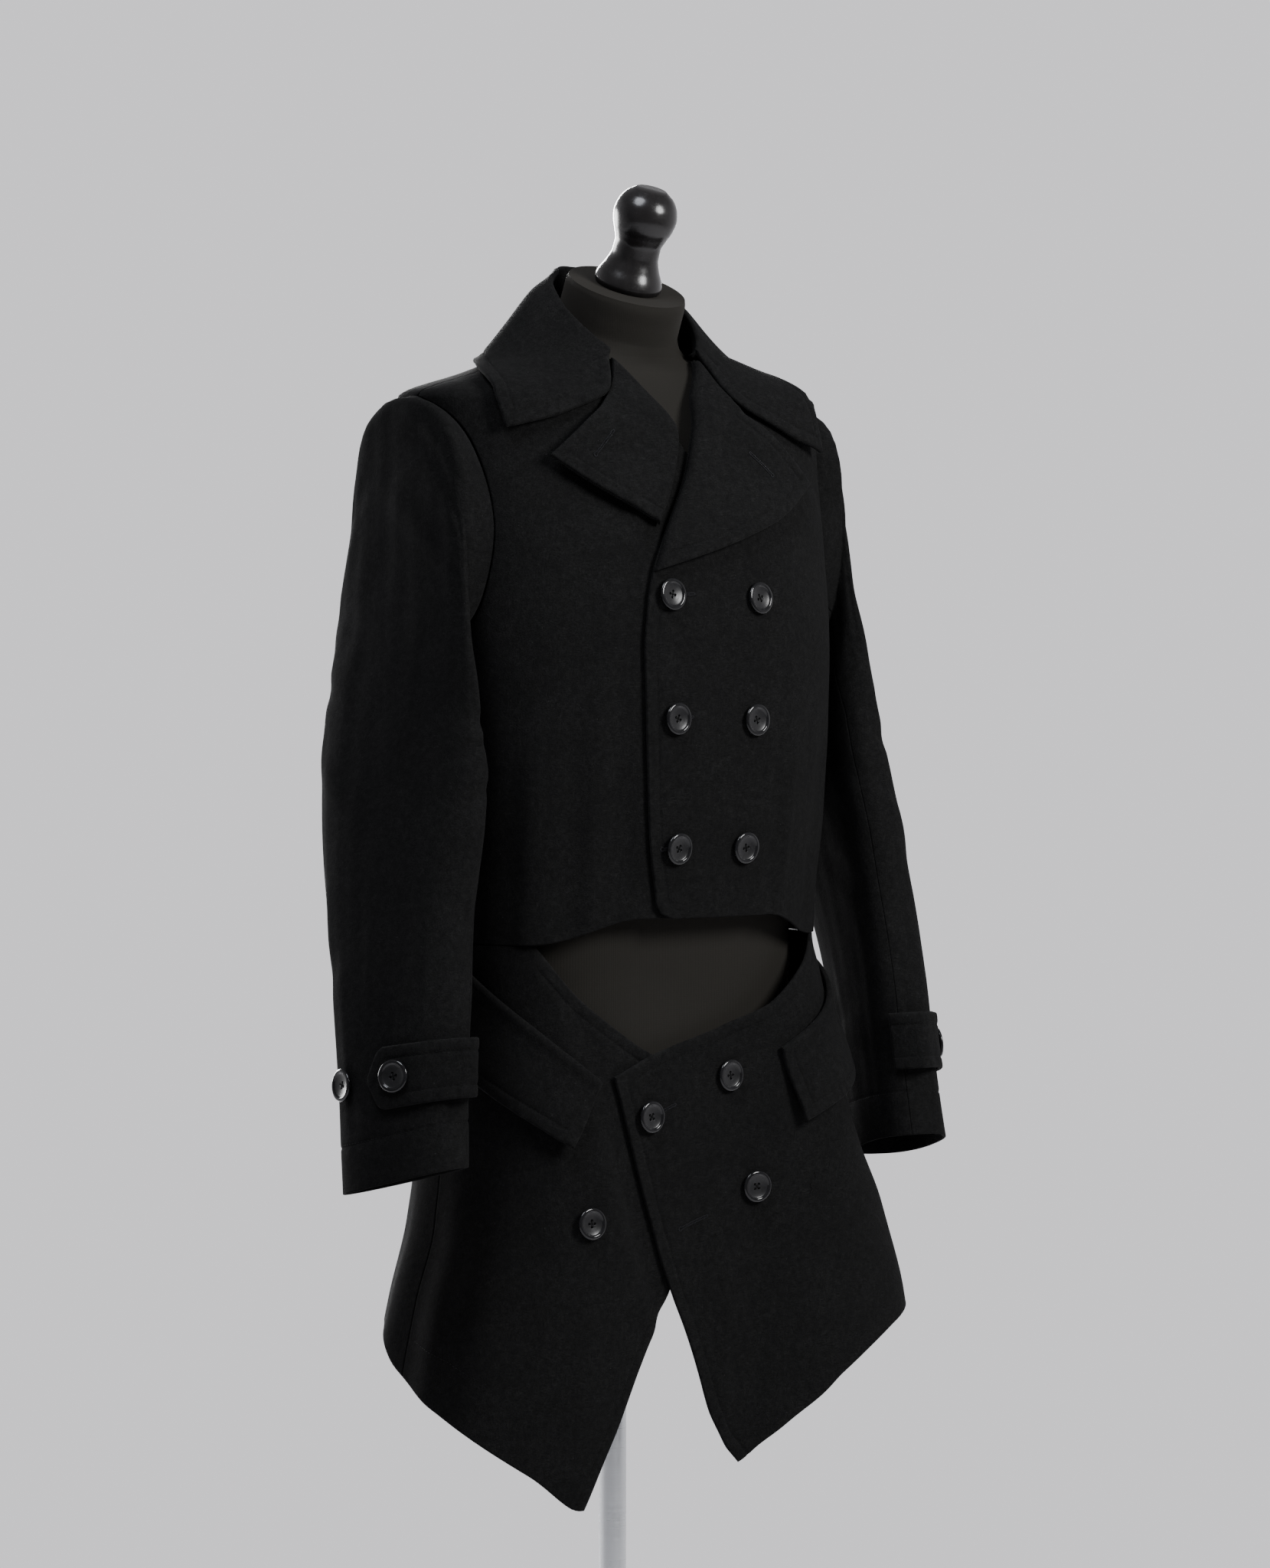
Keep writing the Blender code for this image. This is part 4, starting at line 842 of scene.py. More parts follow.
def bridge(mesh, rings):
    """Faces between rings of a mesh's points."""
    for low, high in zip(rings, rings[1:]):
        for k in range(len(low)):
            n = (k + 1) % len(low)
            mesh.faces.new([low[k], low[n], high[n], high[k]])


def lofted(name, rings):
    """A closed solid through stacked rings of points that run round seen from above."""
    mesh = bmesh.new()
    made = [[mesh.verts.new(p) for p in ring] for ring in rings]
    bridge(mesh, made)
    for j, way in ((0, -1), (-1, 1)):
        middle = mesh.verts.new(np.mean(rings[j], axis=0))
        for pair in zip(made[j], made[j][1:] + made[j][:1]):
            mesh.faces.new([*pair[::way], middle])
    return mesh_object(name, mesh)


def tube(mesh, points, radius, sides):
    """Adds a closed round strand through points to a mesh."""
    points = [Vector(p) for p in points]
    rings = []
    for i, point in enumerate(points):
        ahead = points[min(i + 1, len(points) - 1)] - points[max(i - 1, 0)]
        turn = ahead.to_track_quat("Z", "Y")
        rings.append([mesh.verts.new(point + turn @ Vector((radius * math.cos(a), radius * math.sin(a), 0)))
                      for a in (2 * math.pi * k / sides for k in range(sides))])
    bridge(mesh, rings)
    mesh.faces.new(rings[0][::-1])
    mesh.faces.new(rings[-1])


def smooth_profile(profile, count):
    """A turned profile of height and radius with soft corners, by the way along it."""
    keys = run_of(profile)
    return curves(np.linspace(0, keys[-1], count), keys, profile)


def turned_rings(profile, sides):
    """Rings of a turned piece that stands on the origin."""
    a = np.linspace(0, 2 * math.pi, sides, endpoint=False)
    return [np.stack([r * np.cos(a), r * np.sin(a), h + 0 * a], -1) for h, r in profile]


def thread_tree(finish, sizes):
    """Geometry Nodes that lay short threads along lines. Each point's lay says which way its thread runs."""
    tree = bpy.data.node_groups.new("laid threads", "GeometryNodeTree")
    tree.interface.new_socket("Lines", in_out="INPUT", socket_type="NodeSocketGeometry")
    for label, value in sizes.items():
        tree.interface.new_socket(label, in_out="INPUT", socket_type="NodeSocketFloat").default_value = value
    tree.interface.new_socket("Threads", in_out="OUTPUT", socket_type="NodeSocketGeometry")
    given = add_node(tree, "NodeGroupInput")
    lay = add_node(tree, "GeometryNodeInputNamedAttribute", {"Name": "lay"}, data_type="FLOAT_VECTOR")
    line = add_node(tree, "GeometryNodeMeshToCurve", {"Mesh": given["Lines"]})[0]
    spots = add_node(tree, "GeometryNodeCurveToPoints", {"Curve": line, "Length": given["Pitch"]},
                     mode="LENGTH")
    turn = add_node(tree, "FunctionNodeAlignRotationToVector", {"Vector": lay["Attribute"]}, axis="Z")[0]
    size = add_node(tree, "ShaderNodeCombineXYZ", {"X": given["Thread width"], "Y": given["Thread width"],
                                                   "Z": given["Thread length"]})[0]
    bead = add_node(tree, "GeometryNodeMeshUVSphere", {"Segments": 6, "Rings": 4, "Radius": 0.5})["Mesh"]
    laid = add_node(tree, "GeometryNodeInstanceOnPoints", {"Points": spots["Points"], "Instance": bead,
                                                           "Rotation": turn, "Scale": size})[0]
    real = add_node(tree, "GeometryNodeRealizeInstances", {"Geometry": laid})[0]
    soft = add_node(tree, "GeometryNodeSetShadeSmooth", {"Geometry": real})[0]
    material = bpy.data.materials[finish]
    done = add_node(tree, "GeometryNodeSetMaterial", {"Geometry": soft, "Material": material})[0]
    add_node(tree, "NodeGroupOutput", {0: done})
    return tree


def laid_threads(name, lines, finish, pitch, width, length):
    """Makes a piece of threads laid along lines, each with its points and the ways in which threads run."""
    points, edges, lays = [], [], []
    for line, lay in lines:
        edges += [(len(points) + i, len(points) + i + 1) for i in range(len(line) - 1)]
        points += [tuple(p) for p in line]
        lays += [tuple(w) for w in lay]
    data = bpy.data.meshes.new(name + "_lines")
    data.from_pydata(points, edges, [])
    data.attributes.new("lay", "FLOAT_VECTOR", "POINT").data.foreach_set("vector", np.array(lays).ravel())
    holder = linked(name + "_lines", data)
    sizes = {"Pitch": pitch, "Thread width": width, "Thread length": length}
    holder.modifiers.new("threads", "NODES").node_group = thread_tree(finish, sizes)
    dress(linked(name, plain_mesh(holder, name)), finish, "wool")


def plain_mesh(holder, name):
    """The mesh that an object's modifiers make. The object goes."""
    data = bpy.data.meshes.new_from_object(holder.evaluated_get(bpy.context.evaluated_depsgraph_get()))
    data.name = name
    holder.modifiers.clear()
    bpy.data.objects.remove(holder)
    return data


def settled(piece, points, ways):
    """Points put down on a made piece along the ways out."""
    tree = BVHTree.FromObject(bpy.data.objects[piece], bpy.context.evaluated_depsgraph_get())
    ways = np.broadcast_to(ways, points.shape)
    spots = [tree.ray_cast(Vector(p + way * 0.03), Vector(-way))[0] for p, way in zip(points, ways)]
    if None in spots:
        raise RuntimeError("nothing of " + piece + " lies under a seam")
    return np.array(spots)


def along_line(points):
    """The ways along a line of points."""
    return unit(np.gradient(np.asarray(points, float), axis=0))


# Finishes

def linear(shade):
    """A linear colour from an sRGB hex one."""
    parts = [int(shade[i:i + 2], 16) / 255 for i in (1, 3, 5)]
    return [c / 12.92 if c <= 0.04045 else ((c + 0.055) / 1.055) ** 2.4 for c in parts]


def tone(colour, strength=1.0):
    return *(c * strength for c in colour), 1


def add_node(tree, kind, inputs=None, **settings):
    """Adds a node and gives its outputs. Its inputs are values or the sockets that feed them."""
    node = tree.nodes.new(kind)
    for key, value in settings.items():
        setattr(node, key, value)
    for key, value in (inputs or {}).items():
        if isinstance(value, bpy.types.NodeSocket):
            tree.links.new(value, node.inputs[key])
        else:
            node.inputs[key].default_value = value
    return node.outputs


def new_finish(name, **constants):
    """A material's tree and shader, and the object's own coordinates."""
    made = bpy.data.materials.new(name)
    made.use_nodes = True
    tree = made.node_tree
    shader = tree.nodes["Principled BSDF"]
    for key, value in constants.items():
        shader.inputs[key.replace("_", " ")].default_value = value
    return tree, shader, add_node(tree, "ShaderNodeTexCoord")["Object"]


def noise(tree, place, scale, detail, **more):
    inputs = {"Vector": place, "Scale": scale, "Detail": detail, **more}
    return add_node(tree, "ShaderNodeTexNoise", inputs)[0]


def wave(tree, place, way, scale, distortion, **more):
    inputs = {"Vector": place, "Scale": scale, "Distortion": distortion, "Detail": 1.0, **more}
    return add_node(tree, "ShaderNodeTexWave", inputs, bands_direction=way)["Fac"]


def maths(tree, a, b, operation="MULTIPLY"):
    return add_node(tree, "ShaderNodeMath", {0: a, 1: b}, operation=operation)[0]


def blend(tree, factor, low, high):
    """A colour between two, by a factor."""
    return add_node(tree, "ShaderNodeMix", {0: factor, 6: low, 7: high}, data_type="RGBA")[2]


def spread(tree, value, low, high, start=0.0, end=1.0):
    """A value's range taken to another one."""
    return add_node(tree, "ShaderNodeMapRange", {0: value, 1: low, 2: high, 3: start, 4: end})[0]


def put(tree, shader, colour, height, strength, distance, rough=None):
    """Gives a shader its colour, its roughness and a surface raised by a height."""
    bump = add_node(tree, "ShaderNodeBump", {"Height": height, "Strength": strength, "Distance": distance})[0]
    for value, socket in ((colour, "Base Color"), (bump, "Normal"), (rough, "Roughness")):
        if value:
            tree.links.new(value, shader.inputs[socket])


def make_wool(shades):
    """Melton is milled until its fibres mat every way: dense, dull, with a faint uneven nap and some lint."""
    tree, shader, place = new_finish(WOOL, Roughness=0.92, IOR=1.5, Sheen_Weight=0.015, Sheen_Roughness=0.5,
                                     Sheen_Tint=(0.62, 0.62, 0.63, 1), Specular_IOR_Level=0.01)
    # fibres are 0.02 mm thick and 2 mm long; they are drawn 1 mm thick and 5 mm long to show
    lays = []
    for turn, scale in (((0.3, 0.2, 0.5), (1000, 1000, 210)), ((1.2, 0.7, 1.9), (950, 240, 950)),
                        ((0.9, 1.4, 0.2), (230, 900, 900))):
        laid = add_node(tree, "ShaderNodeMapping", {"Vector": place, "Rotation": turn, "Scale": scale})[0]
        lays.append(noise(tree, laid, 1.0, 2.0, Roughness=0.6, Distortion=0.2))
    fibres = lays[0]
    for scale, low, high, lay in ((420.0, 0.42, 0.58, lays[1]), (300.0, 0.44, 0.56, lays[2])):
        patches = spread(tree, noise(tree, place, scale, 1.0), low, high)
        fibres = add_node(tree, "ShaderNodeMix", {0: patches, 2: fibres, 3: lay})[0]
    fibres = spread(tree, fibres, 0.30, 0.72)
    felt = noise(tree, place, 190.0, 3.0, Roughness=0.62)
    cloud = noise(tree, place, 22.0, 4.0, Roughness=0.6)
    nap = maths(tree, fibres, spread(tree, felt, 0.3, 0.7, 0.35, 1.25))
    nap = maths(tree, nap, spread(tree, cloud, 0.3, 0.7, 0.75, 1.2))
    body = blend(tree, nap, tone(shades.wool), tone(shades.wool_nap))
    worn = add_node(tree, "ShaderNodeAttribute", attribute_name="rub")["Fac"]
    worn = maths(tree, worn, spread(tree, felt, 0.35, 0.65, 0.0, 0.55))
    body = blend(tree, worn, body, tone(shades.wool_worn))
    # lint is 0.2 mm across and is drawn 0.5 mm across
    specks = add_node(tree, "ShaderNodeTexVoronoi", {"Vector": place, "Scale": 95.0})["Distance"]
    body = blend(tree, spread(tree, specks, 0.022, 0.045, 0.45, 0.0), body, tone(shades.lint))
    rough = spread(tree, nap, 0.0, 1.0, 0.97, 0.84)
    put(tree, shader, body, maths(tree, fibres, felt, "ADD"), 0.32, 0.0006, rough)


def make_slit(shades):
    """Painted shade inside a buttonhole's slit: the wool's colour darkened, because no light reaches in there."""
    tree, shader, place = new_finish(SLIT_SHADE, Roughness=1.0, Specular_IOR_Level=0.1)
    fuzz = noise(tree, place, 2200.0, 2.0)
    put(tree, shader, blend(tree, fuzz, tone(shades.wool, 0.25), tone(shades.wool, 0.7)), fuzz, 0.5, 0.0003)


def make_thread(name, shade, roughness, sheen):
    """Twisted thread: two or three plies wound together, so it has a slanting rib and a soft glint."""
    tree, shader, place = new_finish(name, Roughness=roughness, IOR=1.5, Sheen_Weight=sheen,
                                     Sheen_Roughness=0.4, Specular_IOR_Level=0.06)
    # the plies of a real thread are 0.2 mm apart; they are drawn 0.35 mm apart
    plies = wave(tree, place, "DIAGONAL", 900.0, 1.4)
    factor = spread(tree, maths(tree, plies, noise(tree, place, 700.0, 2.0)), 0.1, 0.6)
    put(tree, shader, blend(tree, factor, tone(shade, 0.55), tone(shade, 1.35)), plies, 0.5, 0.0002)


def make_jersey(shades):
    """Fine single jersey stretched on the form: upright wales with a dull, slightly fuzzy face."""
    tree, shader, place = new_finish(JERSEY, Roughness=0.88, IOR=1.5, Sheen_Weight=0.03, Sheen_Roughness=0.5,
                                     Sheen_Tint=(0.6, 0.55, 0.5, 1), Specular_IOR_Level=0.12)
    lie = add_node(tree, "ShaderNodeUVMap", uv_map="cloth")[0]
    # wales are 0.9 mm apart and courses 0.7 mm; both are drawn 2 mm apart to show
    wales = wave(tree, lie, "X", 160.0, 0.35, **{"Detail Scale": 3.0})
    knit = maths(tree, wales, spread(tree, wave(tree, lie, "Y", 190.0, 0.5), 0, 1, 0.55, 1.0))
    shade = maths(tree, knit, spread(tree, noise(tree, place, 30.0, 4.0), 0.3, 0.7, 0.7, 1.15))
    put(tree, shader, blend(tree, shade, tone(shades.jersey), tone(shades.jersey_rib)), knit, 0.15, 0.0004)


def make_horn(shades):
    """Cast polyester, tumbled to a polish: deep black, glossy, with faint turning marks and rubs."""
    tree, shader, place = new_finish(HORN, Roughness=0.16, IOR=1.55, Specular_IOR_Level=0.2)
    cloud = spread(tree, noise(tree, place, 160.0, 3.0, Distortion=1.2), 0.35, 0.7)
    rubs = noise(tree, place, 900.0, 3.0, Roughness=0.7)
    # the rim is polished, and the dish keeps the satin of the cutter
    dish = add_node(tree, "ShaderNodeAttribute", attribute_name="dish")["Fac"]
    rough = maths(tree, spread(tree, dish, 0, 1, 0.05, 0.27), spread(tree, rubs, 0.35, 0.75, 0.03, 0.10),
                  "ADD")
    body = blend(tree, cloud, tone(shades.button), tone(shades.button, 1.6))
    put(tree, shader, body, rubs, 0.06, 0.0002, rough)


def make_lacquer(shades):
    """Turned wood under several coats of black lacquer: a deep gloss over a trace of the grain."""
    tree, shader, place = new_finish(LACQUER, Roughness=0.25, IOR=1.5, Specular_IOR_Level=0.28)
    laid = add_node(tree, "ShaderNodeMapping", {"Vector": place, "Scale": (260, 260, 26)})[0]
    grain = noise(tree, laid, 1.0, 4.0)
    rough = spread(tree, noise(tree, place, 500.0, 3.0), 0.4, 0.8, 0.22, 0.30)
    body = blend(tree, grain, tone(shades.lacquer), tone(shades.lacquer, 2.4))
    put(tree, shader, body, grain, 0.03, 0.0002, rough)


def make_steel(shades):
    """Stainless steel finished with a fine belt: satin, with fine lines that run round the turned pieces."""
    tree, shader, place = new_finish(STEEL, Metallic=1.0, Roughness=0.32)
    ring = add_node(tree, "ShaderNodeSeparateXYZ", {0: place})
    flat = add_node(tree, "ShaderNodeCombineXYZ", {"X": ring["X"], "Y": ring["Y"]})[0]
    radius = add_node(tree, "ShaderNodeVectorMath", {0: flat}, operation="LENGTH")["Value"]
    lines = add_node(tree, "ShaderNodeCombineXYZ", {"X": radius, "Z": ring["Z"]})[0]
    # belt marks are 0.05 mm apart and are drawn 0.8 mm apart
    brush = noise(tree, lines, 1200.0, 3.0)
    rough = spread(tree, maths(tree, brush, noise(tree, place, 14.0, 3.0)), 0.1, 0.45, 0.24, 0.42)
    body = blend(tree, brush, tone(shades.steel, 0.86), tone(shades.steel))
    put(tree, shader, body, brush, 0.08, 0.0002, rough)


def make_paper(shades):
    """Matt wall paint on a studio floor: pale, even and without gloss."""
    tree, shader, place = new_finish(PAPER, Roughness=0.95, Specular_IOR_Level=0.2)
    cloud = noise(tree, place, 3.0, 4.0)
    put(tree, shader, blend(tree, cloud, tone(shades.floor, 0.97), tone(shades.floor)), cloud, 0.05, 0.001)


# Sizes and colours that a maker would change

def length(label, told, default, low, high):
    return bpy.props.FloatProperty(name=label, description=told, default=default, min=low, max=high,
                                   unit="LENGTH")


def colour(label, told, shade):
    return bpy.props.FloatVectorProperty(name=label, description=told, default=linear(shade), size=3,
                                         min=0, max=1, subtype="COLOR")


class CoatSizes(bpy.types.PropertyGroup):
    cell: length("Cloth mesh", "Spacing of the cloth's points away from its edges", 0.0045, 0.002, 0.02)
    stitch_pitch: length("Stitch pitch", "Distance from stitch to stitch", 0.0034, 0.002, 0.01)
    stitch_length: length("Stitch length", "Length of thread that shows", 0.0026, 0.001, 0.01)
    thread_width: length("Thread width", "Width of the topstitch thread", 0.00045, 0.0002, 0.002)
    twist_width: length("Twist width", "Width of the buttonhole twist", 0.0005, 0.0002, 0.002)
    button: length("Button diameter", "Diameter of the turned buttons", 0.0254, 0.015, 0.04)
    button_hole: length("Button hole", "Diameter of each of a button's four holes", 0.0022, 0.001, 0.004)


class CoatShades(bpy.types.PropertyGroup):
    wool: colour("Wool", "Ground colour of the melton", "#090909")
    wool_nap: colour("Wool nap", "Colour of its raised fibres", "#131313")
    wool_worn: colour("Rubbed wool", "Colour of its edges", "#151515")
    lint: colour("Lint", "Colour of the lint on it", "#2C2C2C")
    jersey: colour("Jersey", "Colour between the jersey's ribs", "#100F0C")
    jersey_rib: colour("Jersey rib", "Colour of the jersey's ribs", "#151310")
    button: colour("Button", "Colour of the buttons", "#0B0B0C")
    twist: colour("Buttonhole twist", "Colour of the buttonholes' thread", "#161618")
    topstitch: colour("Topstitch", "Colour of the topstitch thread", "#0B0B0B")
    lacquer: colour("Lacquer", "Colour of the knob", "#0B0A0A")
    steel: colour("Steel", "Colour of the stand", "#C4C6C8")
    floor: colour("Floor", "Colour of the floor", "#D2D1D3")


class COAT_OT_finishes(bpy.types.Operator):
    """Make the materials of the coat, the form and the stand"""
    bl_idname = "coat.finishes"
    bl_label = "Make finishes"

    def execute(self, context):
        shades = context.scene.coat_shades
        for make in (make_wool, make_slit, make_jersey, make_horn, make_lacquer, make_steel, make_paper):
            make(shades)
        make_thread(TWIST, shades.twist, 0.55, 0.03)
        for name in (TOPSTITCH, SHANK):
            make_thread(name, shades.topstitch, 0.7, 0.02)
        return {"FINISHED"}


class COAT_OT_stand(bpy.types.Operator):
    """Turn the round base and the pole"""
    bl_idname = "coat.stand"
    bl_label = "Turn stand"

    def execute(self, context):
        outline = smooth_profile(BASE[:4], 12).tolist() + smooth_profile(BASE[3:], 40).tolist()[1:]
        dress(lofted("base_turned", turned_rings(outline, 128)), STEEL, "steel", "base")
        pole = [(POLE_FOOT, POLE_RADIUS - 0.0004), (POLE_FOOT + 0.0004, POLE_RADIUS)]
        pole += [(height, POLE_RADIUS) for height in np.linspace(0.05, POLE_TOP - 0.0004, 30)]
        dress(lofted("pole_tube", turned_rings(pole, 64)), STEEL, "steel", "pole")
        return {"FINISHED"}


class COAT_OT_form(bpy.types.Operator):
    """Loft the limbless dress form, with the seam round its neck cap, and turn its knob"""
    bl_idname = "coat.form"
    bl_label = "Make dress form"

    def execute(self, context):
        sides = 128
        bearings = np.linspace(0, 360, sides, endpoint=False)
        row = {name: column[:, None] for name, column in FORM.items()}
        depth = np.where(np.cos(np.radians(bearings)) > 0, row["front"], row["back"])
        rings = on_ring(bearings, row["half_width"], depth, row["power"], row["height"])
        rings = np.array([*rings, *(tilted(along, radius, sides) for along, radius in NECK)])
        middle = rings.mean(1, keepdims=True)
        girth = np.linalg.norm(rings - middle, axis=2).mean(1)
        steps = np.linalg.norm(np.diff(middle[:, 0], axis=0), axis=1) + 0.3 * np.abs(np.diff(girth))
        keys = np.concatenate([[0], np.cumsum(steps)])
        at = np.concatenate([np.linspace(0, keys[-5], 110), np.linspace(keys[-5], keys[-1], 70)[1:]])
        fine = curves(at, keys, rings.reshape(len(rings), -1)).reshape(len(at), sides, 3)
        # the seam of the neck cap is a low ridge round the neck
        along = (fine - NECK_ROOT) @ NECK_AXIS
        away = fine - NECK_ROOT - along[..., None] * NECK_AXIS
        ridge = 0.0011 * bell(along, 0.042, 0.0016) * (np.linalg.norm(away, axis=2) < 0.075)
        made = lofted("form_torso_jersey", fine + unit(away) * ridge[..., None])
        # the jersey's ribs need to know how far round and how high each point lies
        lie = made.data.uv_layers.new(name="cloth")
        spots = np.array([v.co for v in made.data.vertices])
        lies = np.stack([np.arctan2(spots[:, 0], -spots[:, 1]) * 0.125, spots[:, 2]], -1)
        for face in made.data.polygons:
            corners = lies[list(face.vertices)]
            for k, (u, v) in zip(face.loop_indices, corners):
                lie.data[k].uv = (u + (0.25 * math.pi if corners[:, 0].max() - u > 0.39 else 0), v)
        dress(made, JERSEY, "jersey", "form_torso")
        knob = [tilted(NECK[-1][0] + up, radius, 96) for up, radius in smooth_profile(KNOB, 64)]
        dress(lofted("knob_turned", knob), LACQUER, "lacquer", "knob")
        return {"FINISHED"}


def side_run(behind, gap, shoulder):
    """Side seam, armhole and shoulder seam of a jacket panel in fine steps, as bearings and heights."""
    low = np.linspace(1.0222, 1.2485, 56)
    steps = np.linspace(180, 0, 76)
    arm_bearing, arm_height = armhole(360 - steps if behind else steps)
    seam = np.interp(low, [1.0222, 1.220, 1.250], [SIDE_SEAM, SIDE_SEAM, 92.5])
    return (np.concatenate([seam + gap, arm_bearing + gap, np.full(12, shoulder)]),
            np.concatenate([low, arm_height, np.linspace(1.4535, NECK_EDGE, 12)]))


def front_points(cols):
    """Bearings and heights of the left front, whose lower corner is rounded off, and its rows' heights."""
    far, height = side_run(False, -HALF_GAP, SHOULDER_SEAM - HALF_GAP)
    x = curve(height, FRONT_EDGE["height"], FRONT_EDGE["x"])
    reach = np.clip(FRONT_CORNER - (height - height[0]), 0, FRONT_CORNER)
    near = bearing_for(jacket, x + FRONT_CORNER - np.sqrt(FRONT_CORNER**2 - reach**2), height)
    u = np.linspace(0, 1, cols)
    bearing = near[:, None] * (1 - u) + far[:, None] * u
    level = height[:, None]
    lift = (HEM_FRONT - WAIST) * (1 - ease((np.abs(bearing) - HEM_LEVEL) / (HEM_JOIN - HEM_LEVEL)))
    return bearing, level + lift * (1 - ease((level - WAIST) / 0.09)), height


class COAT_OT_jacket(bpy.types.Operator):
    """Cut and hang the two fronts and the back of the jacket"""
    bl_idname = "coat.jacket"
    bl_label = "Make jacket"

    def execute(self, context):
        cell = context.scene.coat_sizes.cell
        bearing, height, level = front_points(150)
        for side, sign, last in (("left", 1, 1.306), ("right", -1, 1.345)):
            turn = bearing * sign
            back = -set_back(past_jacket_edge(jacket(turn, height))) if side == "right" else 0.0
            stitched = float(np.interp(last, level, np.linspace(0, 1, len(level))))
            sew("jacket_" + side + "_front", *panel_points(jacket, turn, height, back), SINGLE,
                ("turned", "seam", "seam", (0.0, stitched)), cell, "hung", ["form_torso"])
        near, height = side_run(True, HALF_GAP, SHOULDER_SEAM + 2 * HALF_GAP)
        u = np.linspace(0, 1, 190)
        turn = near[:, None] * (1 - u) + (360 - near[:, None]) * u
        sew("jacket_back", *panel_points(jacket, turn, height[:, None] + 0 * u), SINGLE,
            ("seam", "seam", "seam", "seam"), cell, "hung", ["form_torso"])
        return {"FINISHED"}


def lapel_points(lines, right):
    """Points and ways out of a lapel, whose outline is given on the jacket's front."""
    v, u = np.linspace(0, 1, 110), np.linspace(0, 1, 70)
    grid = patch(through(lines["roll"], v), through(lines["point"], v), through(lines["gorge"], u),
                 through(lines["lower"], u))
    x, height = grid[..., 0], grid[..., 1]
    bearing = bearing_for(jacket, -x if right else x, height)
    back = set_back(past_jacket_edge(jacket(bearing, height)), 0.014, 0.014) if right else 0
    return panel_points(jacket, bearing, height, LIE_GAP + DOUBLE - back)


class COAT_OT_lapels(bpy.types.Operator):
    """Fold back the two lapels and the collar"""
    bl_idname = "coat.lapels"
    bl_label = "Make lapels and collar"

    def execute(self, context):
        cell = context.scene.coat_sizes.cell * 0.8

        for side, lines, off in (("left", LEFT_LAPEL, 0.0028), ("right", RIGHT_LAPEL, 0.0068)):
            def belly(u, v, gaps, off=off):
                swell = 0.0022 * bell(gaps["start"], 0.016, 0.012) * np.sin(math.pi * np.clip(v, 0, 1))
                # the outer part curls off the chest, and throws a soft shadow
                curl = off * ease((0.055 - np.minimum(gaps["high"], gaps["end"])) / 0.055)
                held = ease(gaps["low"] / 0.035) * ease(gaps["start"] / 0.04)
                waves = 0.0009 * np.sin(7 * u + 4 * v) * np.sin(math.pi * v) * ease(gaps["end"] / 0.02)
                return swell + curl * held + waves

            sew(side + "_lapel", *lapel_points(lines, side == "right"), DOUBLE,
                ("seam", WHOLE, (0.03, 1.0), "roll"), cell, "folded", ["jacket_" + side + "_front_cloth"],
                belly, DOUBLE + LIE_GAP)

        half = np.concatenate([np.linspace(0.004, 0.2, 60), np.linspace(0.2, 1.0, 80)[1:]])
        net = collar_net(np.concatenate([half, -half[:-1][::-1]]), 14, 56)
        out = unit(np.cross(np.gradient(net, axis=1), np.gradient(net, axis=0)))
        out = out * np.sign(out[-2, 2, 2])
        out[:, :, 2] *= ease(np.arange(len(out)) / 7)[:, None]
        leaf = 27 / (len(net) - 1)

        def leaf_ends(u, v, gaps):
            # the two corners of the leaf spring up a little off the lapels
            end = np.minimum(gaps["start"], gaps["end"])
            return 0.0045 * ease(1 - gaps["high"] / 0.045) * ease(1 - end / 0.07)

        sew("collar", net, unit(out), DOUBLE, ("seam", (leaf, 1.0), WHOLE, (leaf, 1.0)), cell, "folded",
            ["jacket_back_cloth", "jacket_left_front_cloth", "jacket_right_front_cloth"], leaf_ends)
        return {"FINISHED"}


def tucked(points, out):
    """Carries a piece's first row in under the cloth that it is sewn to."""
    along = unit(points[4] - points[0])
    points = points - out * (0.0007 * (1 - ease(np.arange(len(points)) / 3)))[:, None, None]
    under = points[0] - along * 0.0035 - out[0] * 0.0018
    return np.concatenate([under[None], points]), np.concatenate([out[:1], out])


class COAT_OT_sleeves(bpy.types.Operator):
    """Set in the two-piece sleeves, and lay on their straps"""
    bl_idname = "coat.sleeves"
    bl_label = "Make sleeves and straps"

    def execute(self, context):
        cell = context.scene.coat_sizes.cell
        down = np.concatenate([np.linspace(0, SEAM_END, 16), np.linspace(SEAM_END, 1, 190)[1:]])[:, None]
        across = np.linspace(-1, 1, 40)[:, None]
        round_by = np.linspace(STRAP_TIP, STRAP_END, 150)
        share = (round_by - STRAP_TIP) / (STRAP_END - STRAP_TIP)
        half = STRAP_HALF * (0.10 + 0.90 * curve(share, [0, 0.035, 0.07, 0.12, 1], [0.0, 0.42, 0.80, 1, 1]))
        place, run, most = STRAP_LOOP
        lift = STRAP_GAP + DOUBLE + most * bell(round_by, place, run)[:, None]

        def cuff(u, v, gaps):
            return -0.0007 * bell(gaps["high"], CUFF_STITCH, 0.0013)

        for side, flip in FLIPS.items():
            for part, first, last in (("top", SEAM_BACK - 360, SEAM_FRONT), ("under", SEAM_FRONT, SEAM_BACK)):
                steps = np.linspace(first + 0.05, last - 0.05, 150)
                points, out = tucked(*sleeve_at(down, steps, side == "left"))
                sew(side + "_sleeve_" + part, points * flip, out * flip, SLEEVE_WALL,
                    ("seam", "seam", "cuff", "seam"), cell, "hung", ["jacket_" + side + "_front_cloth"], cuff)
            points, out = on_sleeve(STRAP_MIDDLE + across * half, round_by, side == "left")
            sew(side + "_strap", (points + out * lift) * flip, out * flip, DOUBLE,
                (WHOLE, "turned", WHOLE, WHOLE), cell * 0.7, "laid", [side + "_sleeve_top_cloth"])
        return {"FINISHED"}


